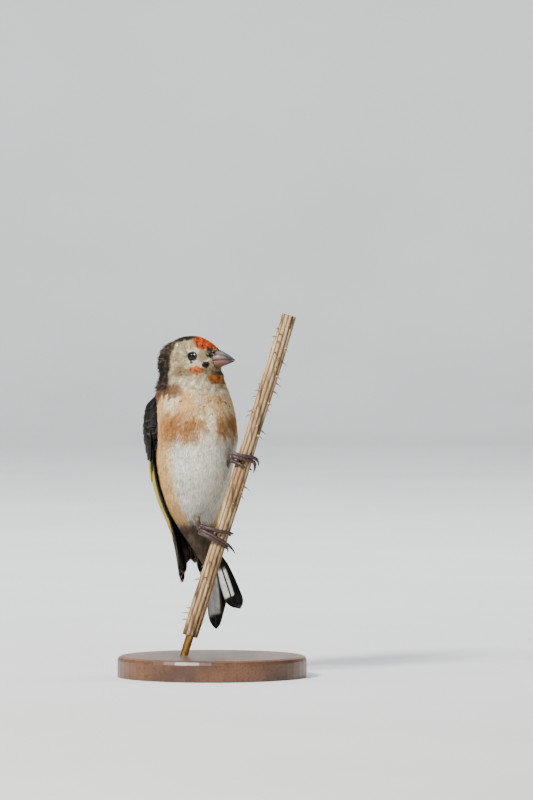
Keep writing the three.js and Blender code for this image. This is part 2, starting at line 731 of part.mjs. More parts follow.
addPiece("torso", torso, FINISH.belly);
addPiece("neck", neck, FINISH.crown);
addPiece("head", head, FINISH.crown);
addPiece("bill_upper", billUpper, FINISH.horn);
addPiece("bill_lower", billLower, FINISH.horn);
addPiece("eye_right", headPlaced(eyeSolid(-1, EYE_RADIUS)), FINISH.eye);
addPiece("eye_left", headPlaced(eyeSolid(1, EYE_RADIUS)), FINISH.eye);
addPiece("wing_right", wing(-1), FINISH.wing);
addPiece("wing_left", wing(1), FINISH.wing);
addPiece("tail", tail(), FINISH.wing);
for (const side of ["right", "left"]) {
  const { leg, toes, claws } = footSolids(side);
  addPiece("leg_" + side, leg, FINISH.skin);
  addPiece("foot_" + side, toes, FINISH.skin);
  claws.forEach((claw, i) => addPiece(`claw_${side}_${FEET[side].toes[i].name}`, claw, FINISH.claw));
}
addPiece("perch_stem", stem, FINISH.stem);
addPiece("stand_rod", rod, FINISH.brass);
const baseEdge = 1.6;
addPiece(
  "stand_base",
  solid(
    new THREE.LatheGeometry(
      [
        new THREE.Vector2(0, 0),
        new THREE.Vector2(BASE_RADIUS, 0),
        new THREE.Vector2(BASE_RADIUS, BASE_HEIGHT - baseEdge),
        new THREE.Vector2(BASE_RADIUS - baseEdge * 0.3, BASE_HEIGHT - baseEdge * 0.3),
        new THREE.Vector2(BASE_RADIUS - baseEdge, BASE_HEIGHT),
        new THREE.Vector2(0, BASE_HEIGHT),
      ],
      48,
    ),
  ).rotate([90, 0, 0]),
  FINISH.wood,
);

export default goldfinch;
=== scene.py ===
import math

import bmesh
import bpy
import numpy as np
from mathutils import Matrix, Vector, kdtree


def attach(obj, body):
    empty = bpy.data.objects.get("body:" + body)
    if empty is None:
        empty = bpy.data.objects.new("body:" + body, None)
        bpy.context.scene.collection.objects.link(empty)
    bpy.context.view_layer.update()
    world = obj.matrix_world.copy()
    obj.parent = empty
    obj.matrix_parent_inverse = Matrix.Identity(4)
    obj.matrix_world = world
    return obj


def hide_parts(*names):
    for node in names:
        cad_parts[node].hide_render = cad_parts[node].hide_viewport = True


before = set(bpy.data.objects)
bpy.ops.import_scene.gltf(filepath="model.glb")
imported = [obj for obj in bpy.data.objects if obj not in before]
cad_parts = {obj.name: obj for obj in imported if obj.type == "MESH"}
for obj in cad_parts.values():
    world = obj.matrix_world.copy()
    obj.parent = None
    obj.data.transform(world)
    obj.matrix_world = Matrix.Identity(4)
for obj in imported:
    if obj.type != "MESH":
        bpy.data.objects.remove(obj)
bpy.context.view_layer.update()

# The form under the plumage
# A finch's body and head are one smooth form once the feathers are on. It is lofted from rings, the
# body and the head apart, and the two are melted into one closed surface that all the coat follows.

MM = 0.001
BODY_TURN = math.radians(21)
BODY_PLACE = (-6.3, 8.0, 3.0)
HEAD_TURN = math.radians(59)
HEAD_PLACE = (-8.0, 7.6, 119.5)

# Height, half width, front, back and sideways shift, in the bird's own frame.
BODY_ROWS = (
    (119.5, 1.0, -2.0, 1.0, -1.6),
    (117.0, 7.6, -8.0, 7.4, -1.5),
    (113.5, 10.4, -10.6, 10.0, -1.4),
    (110.4, 11.6, -11.8, 11.0, -1.3),
    (106.4, 12.9, -13.2, 12.0, -1.1),
    (102.2, 14.3, -14.8, 13.4, -0.9),
    (96.5, 15.0, -16.9, 15.2, -0.3),
    (90.5, 15.3, -18.2, 16.2, -0.1),
    (84.3, 15.2, -18.6, 16.6, -0.3),
    (79.0, 14.6, -18.0, 16.6, -0.7),
    (73.0, 13.8, -16.3, 16.1, -0.9),
    (66.8, 12.4, -13.2, 15.2, -0.7),
    (61.5, 10.9, -9.8, 14.1, -0.1),
    (56.6, 8.8, -6.0, 12.8, 1.1),
    (52.0, 6.9, -2.4, 11.4, 2.6),
    (47.5, 5.4, 0.6, 10.0, 4.6),
    (43.0, 4.1, 2.2, 8.8, 6.4),
    (38.0, 0.8, 4.6, 5.8, 7.4),
)
# Distance forward, half width, top and bottom, about the head's own middle.
HEAD_ROWS = (
    (-11.4, 0.6, 0.6, -1.4),
    (-10.3, 4.4, 4.2, -5.2),
    (-8.2, 6.9, 6.8, -7.8),
    (-4.8, 8.7, 8.9, -9.4),
    (-1.0, 9.3, 9.7, -10.2),
    (2.6, 8.9, 9.6, -10.2),
    (5.6, 7.9, 8.7, -9.4),
    (8.2, 6.5, 7.3, -7.8),
    (10.4, 4.9, 5.8, -5.2),
    (11.8, 3.7, 4.6, -3.2),
    (13.0, 0.6, 1.6, 0.0),
)
FORM_SIDES = 56
BODY_RINGS = 56
HEAD_RINGS = 34
CHIN_PLACE = np.array((0.0, -10.5, -5.5))
CHIN_REACH = np.array((4.2, 3.2, 2.65))
MELT_GRAIN = 0.55
SMOOTHINGS = 10


def curve(rows, column, at):
    """The value of a column between rows, on a smooth curve."""
    table = np.array(sorted(rows))
    place = table[:, 0]
    value = table[:, column]
    slope = np.empty(len(value))
    slope[1:-1] = (value[2:] - value[:-2]) / (place[2:] - place[:-2])
    slope[0] = (value[1] - value[0]) / (place[1] - place[0])
    slope[-1] = (value[-1] - value[-2]) / (place[-1] - place[-2])
    at = np.clip(np.asarray(at, float), place[0], place[-1])
    row = np.clip(np.searchsorted(place, at) - 1, 0, len(place) - 2)
    width = place[row + 1] - place[row]
    t = (at - place[row]) / width
    low = (2 * t**3 - 3 * t**2 + 1) * value[row] + (t**3 - 2 * t**2 + t) * width * slope[row]
    high = (3 * t**2 - 2 * t**3) * value[row + 1] + (t**3 - t**2) * width * slope[row + 1]
    return low + high


def turned(points, angle, place):
    """Points in millimetres of a part's own frame, in metres of the model's frame."""
    p = np.asarray(points, float)
    x = p[..., 0] * math.cos(angle) - p[..., 1] * math.sin(angle) + place[0]
    y = p[..., 0] * math.sin(angle) + p[..., 1] * math.cos(angle) + place[1]
    return np.stack([x, y, p[..., 2] + place[2]], -1) * MM


def unturned(points, angle, place):
    """The same the other way round."""
    p = np.asarray(points, float) / MM - np.array(place)
    x = p[..., 0] * math.cos(angle) + p[..., 1] * math.sin(angle)
    y = -p[..., 0] * math.sin(angle) + p[..., 1] * math.cos(angle)
    return np.stack([x, y, p[..., 2]], -1)


def from_bird(points):
    return turned(points, BODY_TURN, BODY_PLACE)


def to_bird(points):
    return unturned(points, BODY_TURN, BODY_PLACE)


def from_head(points):
    return turned(points, HEAD_TURN, HEAD_PLACE)


def to_head(points):
    return unturned(points, HEAD_TURN, HEAD_PLACE)


def loft(bm, rings):
    """Joins rings of points, in order, into a tube with closed ends."""
    loops = []
    for ring in rings:
        made = bmesh.ops.create_circle(bm, cap_ends=False, segments=len(ring), radius=1.0)
        for vert, place in zip(made["verts"], ring):
            vert.co = Vector(place)
        loops.append(list({edge for vert in made["verts"] for edge in vert.link_edges}))
    for low, high in zip(loops, loops[1:]):
        bmesh.ops.bridge_loops(bm, edges=low + high)
    for loop in (loops[0], loops[-1]):
        bmesh.ops.contextual_create(bm, geom=loop)


def object_from(bm, name, turn_out=True):
    """A finished bmesh as an object of the scene, with its faces turned outwards first."""
    if turn_out:
        bmesh.ops.recalc_face_normals(bm, faces=bm.faces)
    mesh = bpy.data.meshes.new(name)
    bm.to_mesh(mesh)
    bm.free()
    mesh.polygons.foreach_set("use_smooth", [True] * len(mesh.polygons))
    made = bpy.data.objects.new(name, mesh)
    bpy.context.scene.collection.objects.link(made)
    return made


def eased(first, last, count):
    """Places from first to last that stand closer near both ends."""
    return first + (last - first) * (1 - np.cos(np.linspace(0.0, 1.0, count) * math.pi)) / 2


def body_middle(height):
    """How far to the left and to the back the body's middle is at a height."""
    return curve(BODY_ROWS, 4, height), (curve(BODY_ROWS, 2, height) + curve(BODY_ROWS, 3, height)) / 2


def body_ring(height, turns):
    """One ring of the body, by the turn round it from the breast."""
    half_depth = (curve(BODY_ROWS, 3, height) - curve(BODY_ROWS, 2, height)) / 2
    shift, middle = body_middle(height)
    x = shift + curve(BODY_ROWS, 1, height) * np.sin(turns)
    y = middle - half_depth * np.cos(turns)
    return np.stack([x, y, np.full(len(turns), height)], -1)


def head_ring(forward, turns):
    """One ring of the head, by its distance towards the bill and the turn round it from the crown."""
    top = curve(HEAD_ROWS, 2, forward)
    bottom = curve(HEAD_ROWS, 3, forward)
    width = curve(HEAD_ROWS, 1, forward)
    z = (top + bottom) / 2 + (top - bottom) / 2 * np.cos(turns)
    return np.stack([width * np.sin(turns), np.full(len(turns), -forward), z], -1)


form = bmesh.new()
around = np.linspace(0, 2 * math.pi, FORM_SIDES, endpoint=False)
body_heights = eased(BODY_ROWS[0][0], BODY_ROWS[-1][0], BODY_RINGS)
loft(form, [from_bird(body_ring(height, around)) for height in body_heights])
head_reaches = eased(HEAD_ROWS[0][0], HEAD_ROWS[-1][0], HEAD_RINGS)
loft(form, [from_head(head_ring(forward, around)) for forward in head_reaches])
chin = bmesh.ops.create_uvsphere(form, u_segments=24, v_segments=16, radius=1.0)
for vert in chin["verts"]:
    vert.co = Vector(from_head(CHIN_PLACE + CHIN_REACH * vert.co[:]))
skin = object_from(form, "skin")
melt = skin.modifiers.new("melt", "REMESH")
melt.mode = "VOXEL"
melt.voxel_size = MELT_GRAIN * MM
graph = bpy.context.evaluated_depsgraph_get()
melted = bpy.data.meshes.new_from_object(skin.evaluated_get(graph))
skin.modifiers.remove(melt)
form = bmesh.new()
form.from_mesh(melted)
for _ in range(SMOOTHINGS):
    bmesh.ops.smooth_vert(
        form, verts=form.verts, factor=0.5, use_axis_x=True, use_axis_y=True, use_axis_z=True
    )
bmesh.ops.triangulate(form, faces=form.faces)
form.normal_update()
form.verts.ensure_lookup_table()
form_points = np.array([vert.co[:] for vert in form.verts])
form_normals = np.array([vert.normal[:] for vert in form.verts])
form_faces = np.array([[vert.index for vert in face.verts] for face in form.faces])

# The markings
# A goldfinch in moult has a cream face that is losing its down, orange-red feathers coming in over the
# bill and on the cheek, a black crown and nape, tan patches on the breast and a pale belly. The same
# marks, told by their places on the head and the body, colour both the skin and the coat.

CREAM = (0.71, 0.645, 0.51)
FACE_GREY = (0.46, 0.41, 0.325)
PALE = (0.90, 0.865, 0.77)
BELLY_GREY = (0.835, 0.83, 0.79)
BUFF = (0.78, 0.615, 0.395)
TAN = (0.53, 0.335, 0.17)
BREAST_BUFF = (0.84, 0.69, 0.48)
MANTLE = (0.43, 0.32, 0.235)
VENT_BROWN_SHADED = (0.28, 0.23, 0.19)
RUMP = (0.82, 0.79, 0.73)
SOOT = (0.045, 0.036, 0.033)
ORANGE = (0.60, 0.205, 0.0)
BURNT = (0.30, 0.10, 0.04)
RUST = (0.64, 0.30, 0.07)
EAR_BROWN = (0.42, 0.345, 0.25)
NAPE_BROWN = (0.24, 0.205, 0.17)
WARM_BUFF = (0.79, 0.58, 0.35)
PALE_ORANGE = (0.84, 0.47, 0.15)
DULL_ORANGE = (0.66, 0.37, 0.14)
CHEEK_ORANGE = (0.84, 0.50, 0.20)
STRAND_GREY_AND_SHADE = (0.60, 0.575, 0.53)
STRAND_WHITE_AND_HIGHLIGHT = (0.95, 0.93, 0.87)
COLLAR_WHITE = (0.96, 0.93, 0.83)


def linear(colour):
    """A colour as the eye names it, as the amount of light."""
    c = np.asarray(colour, float)
    return np.where(c <= 0.04045, c / 12.92, ((c + 0.055) / 1.055) ** 2.4)


def wander(points, scale, seed, layers=5):
    """A smooth field between about -1 and 1 that changes over a length of scale millimetres."""
    chance = np.random.default_rng(seed)
    total = np.zeros(len(points))
    for _ in range(layers):
        way = chance.normal(size=3)
        way *= (0.7 + 0.8 * chance.random()) * 2 * math.pi / (scale * np.linalg.norm(way))
        total += np.sin(points @ way + chance.random() * 7)
    return total / layers * 1.4


def ramp(value, low, high):
    """0 up to low and 1 past high, with a smooth rise between them."""
    t = np.clip((value - low) / (high - low), 0, 1)
    return t * t * (3 - 2 * t)


def spot(places, middle, reach, edge=0.35):
    """1 inside an oval about a place, falling to 0 past its rim."""
    away = np.linalg.norm((places - np.array(middle)) / np.array(reach), axis=1)
    return 1 - ramp(away, 1 - edge, 1 + edge)


def toward(first, second, share):
    """A number, a place or a colour moved a share of the way from the first to the second."""
    return first + (second - first) * share


def brush(colours):
    """A brush for an array of colours. It lays a paint over each of them by an amount from 0 to 1."""

    def lay(tone, amount):
        colours[:] = toward(colours, np.array(tone), np.clip(amount, 0, 1)[:, None])

    return lay


def body_turn(bird):
    """How far round the body a place is, in degrees from the breast towards the bird's left."""
    return np.degrees(np.arctan2(bird[:, 0] + 0.5, -(bird[:, 1] + 0.5)))


def markings(points, chance):
    """The colour of the plumage at points of the model, with each feather's own chance of a fleck."""
    head = to_head(points)
    bird = to_bird(points)
    head[:, 1] *= -1
    millimetres = points / MM
    turn = body_turn(bird)
    height = bird[:, 2]
    rough = wander(millimetres, 3.2, 3)
    broad = wander(millimetres, 11.0, 4)
    fine = wander(millimetres, 1.5, 31, 9)
    finer = wander(millimetres, 1.1, 32, 9)
    off_bill = np.stack([11.5 - head[:, 1], head[:, 2] - 1.0], -1)
    fan_way = np.arctan2(off_bill[:, 1], off_bill[:, 0])
    fan_out = np.linalg.norm(off_bill, axis=1)
    fan_places = np.stack([fan_way * 13, fan_out * 0.4, np.abs(head[:, 0]) * 0.4], -1)
    strands = wander(fan_places, 1.6, 33, 9)
    strands_body = wander(np.stack([turn * 0.24, height * 0.16, 0 * height], -1), 1.1, 34, 9)
    colour = np.tile(np.array(BELLY_GREY), (len(points), 1))
    lay = brush(colour)
    lift = height + rough * 1.3
    side = np.abs(turn) + rough * 5
    # Breast, belly and flanks
    lay(BUFF, ramp(side, 42, 74) * ramp(lift, 50, 58))
    lay(BREAST_BUFF, ramp(lift, 84, 94) * (0.75 + 0.25 * broad))
    right_patch = ramp(turn + rough * 8, -100, -62) * (1 - ramp(turn + rough * 7, -22, 0))
    left_patch = ramp(turn + rough * 6, 0, 14) * (1 - ramp(turn + rough * 7, 50, 78))
    uneven = height + rough * 2.2 + broad * 1.2
    band = ramp(uneven, 82.5, 89) * (1 - ramp(uneven, 94, 101))
    lay(TAN, 0.95 * band * right_patch * (0.85 + 0.15 * broad + 0.2 * strands_body))
    narrow = ramp(uneven, 85, 91) * (1 - ramp(uneven, 93, 99))
    lay(TAN, 0.8 * narrow * left_patch)
    lay(PALE, 0.7 * spot(np.stack([turn, height], -1), (3, 95), (6, 9)))
    lay(PALE, 0.5 * ramp(lift, 60, 66) * (1 - ramp(lift, 80, 88)) * (1 - ramp(side, 18, 42)))
    # Grey and white streaks along the strands: partly the plumage's own streaking, partly painted shade in
    # the grey ones and painted highlight in the white ones on the middle of the belly.
    lay(STRAND_GREY_AND_SHADE, 0.45 * ramp(strands_body, 0.15, 0.8) * (1 - ramp(lift, 96, 102)))
    bright_middle = (1 - ramp(side, 30, 60)) * ramp(lift, 58, 64)
    lay(STRAND_WHITE_AND_HIGHLIGHT, 0.45 * ramp(-strands_body, 0.3, 0.9) * bright_middle)
    # Collar, mantle, back and rump
    lay(PALE, (0.7 + 0.3 * strands_body) * ramp(lift, 104, 108) * (1 - ramp(side, 58, 76)))
    round_body = np.stack([turn + rough * 4, height + rough], -1)
    lay(PALE, 0.6 * spot(round_body, (-60, 101.0), (14, 3.0), 0.5))
    streaked = 0.8 + 0.4 * strands_body
    lay(WARM_BUFF, 0.7 * spot(round_body, (7, 102.0), (19, 4.0), 0.55) * streaked)
    lay(WARM_BUFF, 0.6 * spot(round_body, (-34, 101.5), (12, 3.6), 0.55))
    shawl = np.clip(height - 100, 0, 8) * np.where(turn < 0, 5.0, 1.0)
    mantle = ramp(side + shawl, 94, 106) * ramp(lift, 62, 68)
    lay(MANTLE, mantle * (0.9 + 0.1 * broad))
    shoulder_band = ramp(lift, 102.5, 105) * (1 - ramp(lift, 108.5, 111))
    lay(MANTLE, 0.95 * shoulder_band * ramp(side, 36, 50) * (turn < 0))
    lay(MANTLE, ramp(side, 108, 122) * ramp(lift, 62, 67))
    shift, middle = body_middle(height)
    low_turn = np.degrees(np.arctan2(np.abs(bird[:, 0] - shift), middle - bird[:, 1])) + rough * 4
    lay(RUMP, ramp(low_turn, 112, 128) * (1 - ramp(lift, 61, 66)))
    # The vent below the body in a dark brownish grey: partly the feathers' own colour, partly painted shade
    # under the body.
    lay(VENT_BROWN_SHADED, (1 - ramp(lift, 52.5, 57.5)) * (1 - ramp(low_turn, 112, 128)))
    # Head
    neck_line = 0.35 * np.maximum(0, head[:, 1]) - 0.2 * np.minimum(0, head[:, 1])
    on_head = ramp(height + neck_line, 107.5, 111.0)
    face = np.stack([np.abs(head[:, 0]), head[:, 1], head[:, 2]], -1)
    ragged = face + np.stack([rough, np.roll(rough, 1), wander(millimetres, 2.4, 9)], -1) * 0.55
    lay(CREAM, on_head)
    above_chin = ramp(head[:, 2] - 0.25 * head[:, 1], -8.5, -4.5)
    greyness = np.clip(0.32 + 0.4 * broad + 0.25 * rough + 0.6 * strands, 0, 0.9)
    lay(FACE_GREY, on_head * above_chin * greyness)
    lay(PALE, 0.7 * on_head * ramp(-strands, 0.35, 0.7))
    lay(EAR_BROWN, 0.6 * on_head * ramp(fine, 0.45, 0.75))
    lay(FACE_GREY, 0.7 * on_head * spot(ragged, (6.0, 9.0, 2.6), (3.6, 3.0, 2.0)))
    lay(PALE, 0.45 * on_head * spot(ragged, (8.4, 4.9, 2.3), (3.0, 3.0, 3.0), 0.12))
    lay(EAR_BROWN, 0.7 * on_head * spot(ragged, (9.3, -1.4, 2.0), (3.4, 1.6, 3.2)) * (chance < 0.5))
    lay(PALE, 0.45 * on_head * spot(ragged, (7.5, 5.8, -0.6), (3.0, 3.2, 1.8)))
    lay(EAR_BROWN, 0.75 * spot(ragged, (9.6, 1.2, -3.4), (3.4, 2.8, 2.4)))
    crown_rise = ramp(ragged[:, 2] - 0.32 * np.abs(ragged[:, 1] + 1.5), 7.1, 8.0)
    crown = crown_rise * (1 - ramp(ragged[:, 1], 2.2, 3.8))
    lay(SOOT, 0.95 * crown)
    lay(SOOT, 0.8 * ramp(ragged[:, 2], 8.4, 9.2) * (1 - ramp(ragged[:, 1], 3.0, 4.4)))
    nape_edge = ramp(ragged[:, 1] - 0.12 * np.abs(ragged[:, 2]), -5.2, -2.8)
    nape = (1 - nape_edge) * ramp(ragged[:, 2], -12.0, -9.0)
    lay(NAPE_BROWN, 0.9 * nape)
    lay(SOOT, 0.92 * nape * np.clip(0.9 + 0.5 * rough - 1.1 * ramp(fine, 0.3, 0.6), 0, 1))
    lay(CREAM, 0.5 * nape * ramp(finer, 0.55, 0.8))
    blaze = spot(ragged, (0.0, 7.0, 7.0), (5.9, 5.2, 3.7), 0.14)
    lay(ORANGE, 0.97 * blaze)
    lay(BURNT, 0.9 * blaze * ramp(fine, -0.05, 0.25))
    lay(SOOT, 0.85 * blaze * ramp(finer, 0.4, 0.6))
    lay(PALE_ORANGE, 0.75 * blaze * ramp(-finer, 0.45, 0.7))
    over_bill = spot(ragged, (3.0, 11.0, 4.8), (2.6, 1.9, 1.0), 0.25)
    before_eye = spot(ragged, (4.2, 10.8, 3.2), (1.2, 1.5, 1.5), 0.25)
    lay(SOOT, 0.95 * np.maximum(over_bill, before_eye) * ramp(fine, -0.45, -0.2))
    lay(PALE, 0.6 * spot(ragged, (5.2, 10.4, 0.7), (1.2, 1.2, 0.7), 0.3))
    lay(SOOT, 0.95 * spot(ragged, (5.4, 9.8, -1.0), (1.5, 1.5, 1.2), 0.2) * ramp(finer, -1.2, -0.8))
    lay(SOOT, 0.75 * spot(ragged, (8.4, 2.4, 2.3), (1.2, 0.9, 0.45)))
    lay(SOOT, 0.7 * spot(ragged, (8.0, 5.3, -0.1), (1.2, 1.2, 0.4)))
    cheek = spot(ragged, (7.7, 6.9, -3.3), (3.0, 2.7, 1.8), 0.25)
    lay(DULL_ORANGE, 0.5 * cheek)
    lay(ORANGE, 0.9 * cheek * ramp(fine, -0.2, 0.1))
    lay(CHEEK_ORANGE, 0.7 * cheek * ramp(finer, 0.4, 0.7))
    lay(ORANGE, 0.7 * spot(ragged, (5.4, 9.2, -3.8), (1.8, 1.6, 1.0), 0.3) * ramp(finer, 0.0, 0.3))
    lay(EAR_BROWN, 0.6 * spot(ragged, (4.4, 10.4, -3.2), (2.6, 2.0, 0.9), 0.4))
    # The chin's dark spot is partly dark feathers and partly painted shadow under the bill.
    chin = spot(ragged, (1.5, 12.0, -6.3), (4.6, 3.4, 2.8), 0.45)
    lay(EAR_BROWN, 0.25 * chin)
    rust_spot = spot(ragged, (2.6, 12.0, -6.6), (2.6, 2.6, 1.9), 0.35)
    lay(RUST, 0.5 * rust_spot)
    lay(RUST, 0.8 * rust_spot * ramp(fine, -0.35, 0.0))
    lay(SOOT, 0.75 * chin * ramp(finer, 0.45, 0.7))
    # A dark line under the lower bill: partly dark feathers, partly painted shadow of the bill.
    lay(SOOT, 0.6 * spot(ragged, (1.0, 13.0, -4.0), (3.4, 2.6, 1.0), 0.4))
    # Flecks of feathers that are half grown or worn
    fleck = on_head * (1 - blaze) * (1 - crown) * ramp(head[:, 2], -8, -5)
    lay(SOOT, 0.62 * fleck * ramp(finer, 0.66, 0.85))
    lay(EAR_BROWN, 0.75 * fleck * ramp(head[:, 2], 2.5, 5.0) * ramp(fine, 0.2, 0.5))
    collar = on_head * (1 - above_chin) * (1 - chin)
    lay(COLLAR_WHITE, 0.75 * collar * ramp(strands, -0.1, 0.4))
    lay(EAR_BROWN, 0.5 * collar * ramp(-strands, 0.45, 0.8))
    lay(EAR_BROWN, 0.55 * fleck * (chance > 0.84))
    breast_fleck = ramp(height, 96, 99) * (1 - ramp(height, 104, 107)) * (1 - ramp(side, 60, 75))
    lay(SOOT, 0.65 * breast_fleck * (chance < 0.018))
    return colour


def paint(mesh, colours, name="markings"):
    """Keeps a colour for each point of a mesh, which its material reads."""
    layer = mesh.color_attributes.new(name, "FLOAT_COLOR", "POINT")
    whole = np.ones((len(colours), 4))
    whole[:, :3] = linear(np.clip(colours, 0, 1))
    layer.data.foreach_set("color", whole.ravel())


def material(name, roughness, **constants):
    """A new material with its shader, ready for nodes."""
    made = bpy.data.materials.new(name)
    made.use_nodes = True
    shader = made.node_tree.nodes["Principled BSDF"]
    shader.inputs["Roughness"].default_value = roughness
    for socket, value in constants.items():
        shader.inputs[socket.replace("_", " ")].default_value = value
    return made, made.node_tree, shader


def noise(tree, scale, detail=4.0, stretch=(1, 1, 1), turn=(0, 0, 0)):
    """A noise pattern laid on a piece's own place, stretched and turned."""
    where = tree.nodes.new("ShaderNodeTexCoord")
    mapped = tree.nodes.new("ShaderNodeMapping")
    mapped.inputs["Scale"].default_value = stretch
    mapped.inputs["Rotation"].default_value = turn
    pattern = tree.nodes.new("ShaderNodeTexNoise")
    pattern.inputs["Scale"].default_value = scale
    pattern.inputs["Detail"].default_value = detail
    tree.links.new(where.outputs["Object"], mapped.inputs["Vector"])
    tree.links.new(mapped.outputs["Vector"], pattern.inputs["Vector"])
    return pattern.outputs["Fac"]


def ranged(tree, value, low, high, out_low=0.0, out_high=1.0):
    """A value moved from one range to another."""
    node = tree.nodes.new("ShaderNodeMapRange")
    node.inputs["From Min"].default_value = low
    node.inputs["From Max"].default_value = high
    node.inputs["To Min"].default_value = out_low
    node.inputs["To Max"].default_value = out_high
    tree.links.new(value, node.inputs["Value"])
    return node.outputs["Result"]


def blended(tree, kind, amount, first, second):
    """Two colours mixed. Each is a socket or three numbers."""
    node = tree.nodes.new("ShaderNodeMix")
    node.data_type = "RGBA"
    node.blend_type = kind
    for place, source in ((0, amount), (6, first), (7, second)):
        if isinstance(source, bpy.types.NodeSocket):
            tree.links.new(source, node.inputs[place])
        elif place == 0:
            node.inputs[place].default_value = source
        else:
            node.inputs[place].default_value = (*linear(source), 1)
    return node.outputs[2]


def bumped(tree, shader, height, strength, distance):
    """Fine relief in a surface, its depth in metres."""
    node = tree.nodes.new("ShaderNodeBump")
    node.inputs["Strength"].default_value = strength
    node.inputs["Distance"].default_value = distance
    tree.links.new(height, node.inputs["Height"])
    tree.links.new(node.outputs["Normal"], shader.inputs["Normal"])


def marked(tree, name="markings", output="Color"):
    """What a piece's mesh keeps for each of its points."""
    node = tree.nodes.new("ShaderNodeAttribute")
    node.attribute_name = name
    return node.outputs[output]


def tinted(tree, shader, value):
    """A piece's own markings, made lighter and darker by a value, as the shader's colour."""
    grey = tree.nodes.new("ShaderNodeCombineColor")
    for channel in ("Red", "Green", "Blue"):
        tree.links.new(value, grey.inputs[channel])
    tint = blended(tree, "MULTIPLY", 1.0, marked(tree), grey.outputs["Color"])
    tree.links.new(tint, shader.inputs["Base Color"])
    return tint


def dressed(piece, finish, slot, *replaced):
    """Gives a piece its finish, hides the parts that it replaces and says what carries it. Its slot, what
    it is made of, is not used.
    """
    piece.data.materials.append(finish)
    if replaced:
        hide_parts(*replaced)
    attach(piece, "root")


COAT_DEPTH = 1.15  # of the plumage over the skin, on the body
FACE_DEPTH = 0.55
FACE_FROM = 104  # the heights between which the body's plumage gives way to the face's
FACE_TO = 111
SKIN_PAINTED_SHADE = 0.8
on_face = ramp(to_bird(form_points)[:, 2], FACE_FROM, FACE_TO)
depth = toward(COAT_DEPTH, FACE_DEPTH, on_face) * MM
for vert, place in zip(form.verts, form_points - form_normals * depth[:, None]):
    vert.co = Vector(place)
form.to_mesh(skin.data)
form.free()
skin.data.polygons.foreach_set("use_smooth", [True] * len(skin.data.polygons))
# Painted shade: the skin shows only in gaps under the coat, so its markings are darkened there.
paint(skin.data, markings(form_points, np.full(len(form_points), 0.5)) * SKIN_PAINTED_SHADE)
skin_finish, tree, shader = material("down", 0.95, Sheen_Weight=0.3)
tinted(tree, shader, ranged(tree, noise(tree, 1400, 6), 0.35, 0.65, 0.72, 1.08))
bumped(tree, shader, noise(tree, 1100, 5), 0.6, 0.0003)
dressed(skin, skin_finish, "plumage", "torso", "neck", "head")

# The coat
# Body feathers are soft: each is a fan of fine barbs from one root, and thousands overlap like shingles
# down the body and back over the head. Each barb lock is a thin closed blade that bends with the form.

EYE_PLACE = (6.75, -4.9, 2.3)
BILL_MIDDLE = 1.0  # how high the bill's middle is at the face
BILL_REACH = (3.35, 3.5)  # half width and half height of the bill at the face
BLADES_BODY = 7
BLADES_HEAD = 5
BLADE_TRIANGLES = 16
PIECE_TRIANGLES = 190000
COAT_SPACING = 0.318  # of a feather's width
SPACING_KEPT = 0.82
OVERSAMPLING = 2.6
COAT_SEED = 7
EYE_ROOM_ROOTS = 1.9
EYE_ROOM_TIPS = 1.72
PATCH_REACH = 0.0014


def unit(vectors):
    """Vectors brought to a length of one."""
    return vectors / np.maximum(np.linalg.norm(vectors, axis=-1, keepdims=True), 1e-12)


# Height, length and width of the feathers there
FEATHER_SIZES = (
    (30, 6.5, 2.3),
    (50, 6.2, 2.3),
    (60, 6.0, 2.3),
    (76, 5.2, 2.2),
    (92, 4.2, 2.0),
    (103, 3.4, 1.7),
    (109, 2.4, 1.4),
    (140, 2.1, 1.2),
)


def feather_size(points):
    """Length and width of the feathers in millimetres: smallest round the bill, longest at the vent."""
    bird = to_bird(points)
    head = to_head(points)
    height = bird[:, 2]
    forward = ramp(-head[:, 1], -2.0, 8.0) * ramp(height, 107, 111) * 0.92
    length = toward(curve(FEATHER_SIZES, 1, height), 0.95, forward)
    width = toward(curve(FEATHER_SIZES, 2, height), 0.7, forward)
    back = ramp(np.abs(body_turn(bird)), 100, 130) * (1 - ramp(height, 104, 110))
    width = width + 0.7 * back
    return length, width


def squared(outs, ways):
    """Directions turned to stand square to the ways they go with."""
    return unit(outs - ways * np.sum(outs * ways, axis=1, keepdims=True))


def body_way(ways):
    """Directions in the bird's own frame, in the model's frame."""
    return turned(ways, BODY_TURN, (0, 0, 0)) / MM


def lie(points, normals):
    """The way that the feathers point: back from the bill over the head, then down to the tail."""
    bird = to_bird(points)
    head = to_head(points)
    spread = np.zeros_like(points)
    spread[:, 0] = (bird[:, 0] - curve(BODY_ROWS, 4, bird[:, 2])) * 0.012
    down_way = np.array([0.0, 0.0, -1.0]) + body_way(spread)
    low = (1 - ramp(bird[:, 2], 52, 66))[:, None]
    down_way = down_way * (1 - low) + body_way([[0.3, 0.0, -1.0]]) * low
    from_bill = points - from_head(np.array([[0.0, -12.4, 1.0]]))
    back_way = unit(from_bill) + np.array([0, 0, -0.12])
    share = ramp(bird[:, 2] + 0.3 * np.minimum(0, head[:, 1]), 103, 112)[:, None]
    way = down_way * (1 - share) + back_way * share
    millimetres = points / MM
    swirl = np.stack([wander(millimetres, 9, seed) for seed in (21, 22, 23)], -1)
    return squared(unit(way) + swirl * 0.07, normals)


def spread_out(candidates, spacing):
    """The first of the candidates that keep their spacing from one another."""
    tree = kdtree.KDTree(len(candidates))
    for i, place in enumerate(candidates):
        tree.insert(place, i)
    tree.balance()
    free = np.ones(len(candidates), bool)
    kept = []
    for i in range(len(candidates)):
        if not free[i]:
            continue
        kept.append(i)
        for _, other, _ in tree.find_range(candidates[i], spacing[i]):
            free[other] = False
    return np.array(kept)


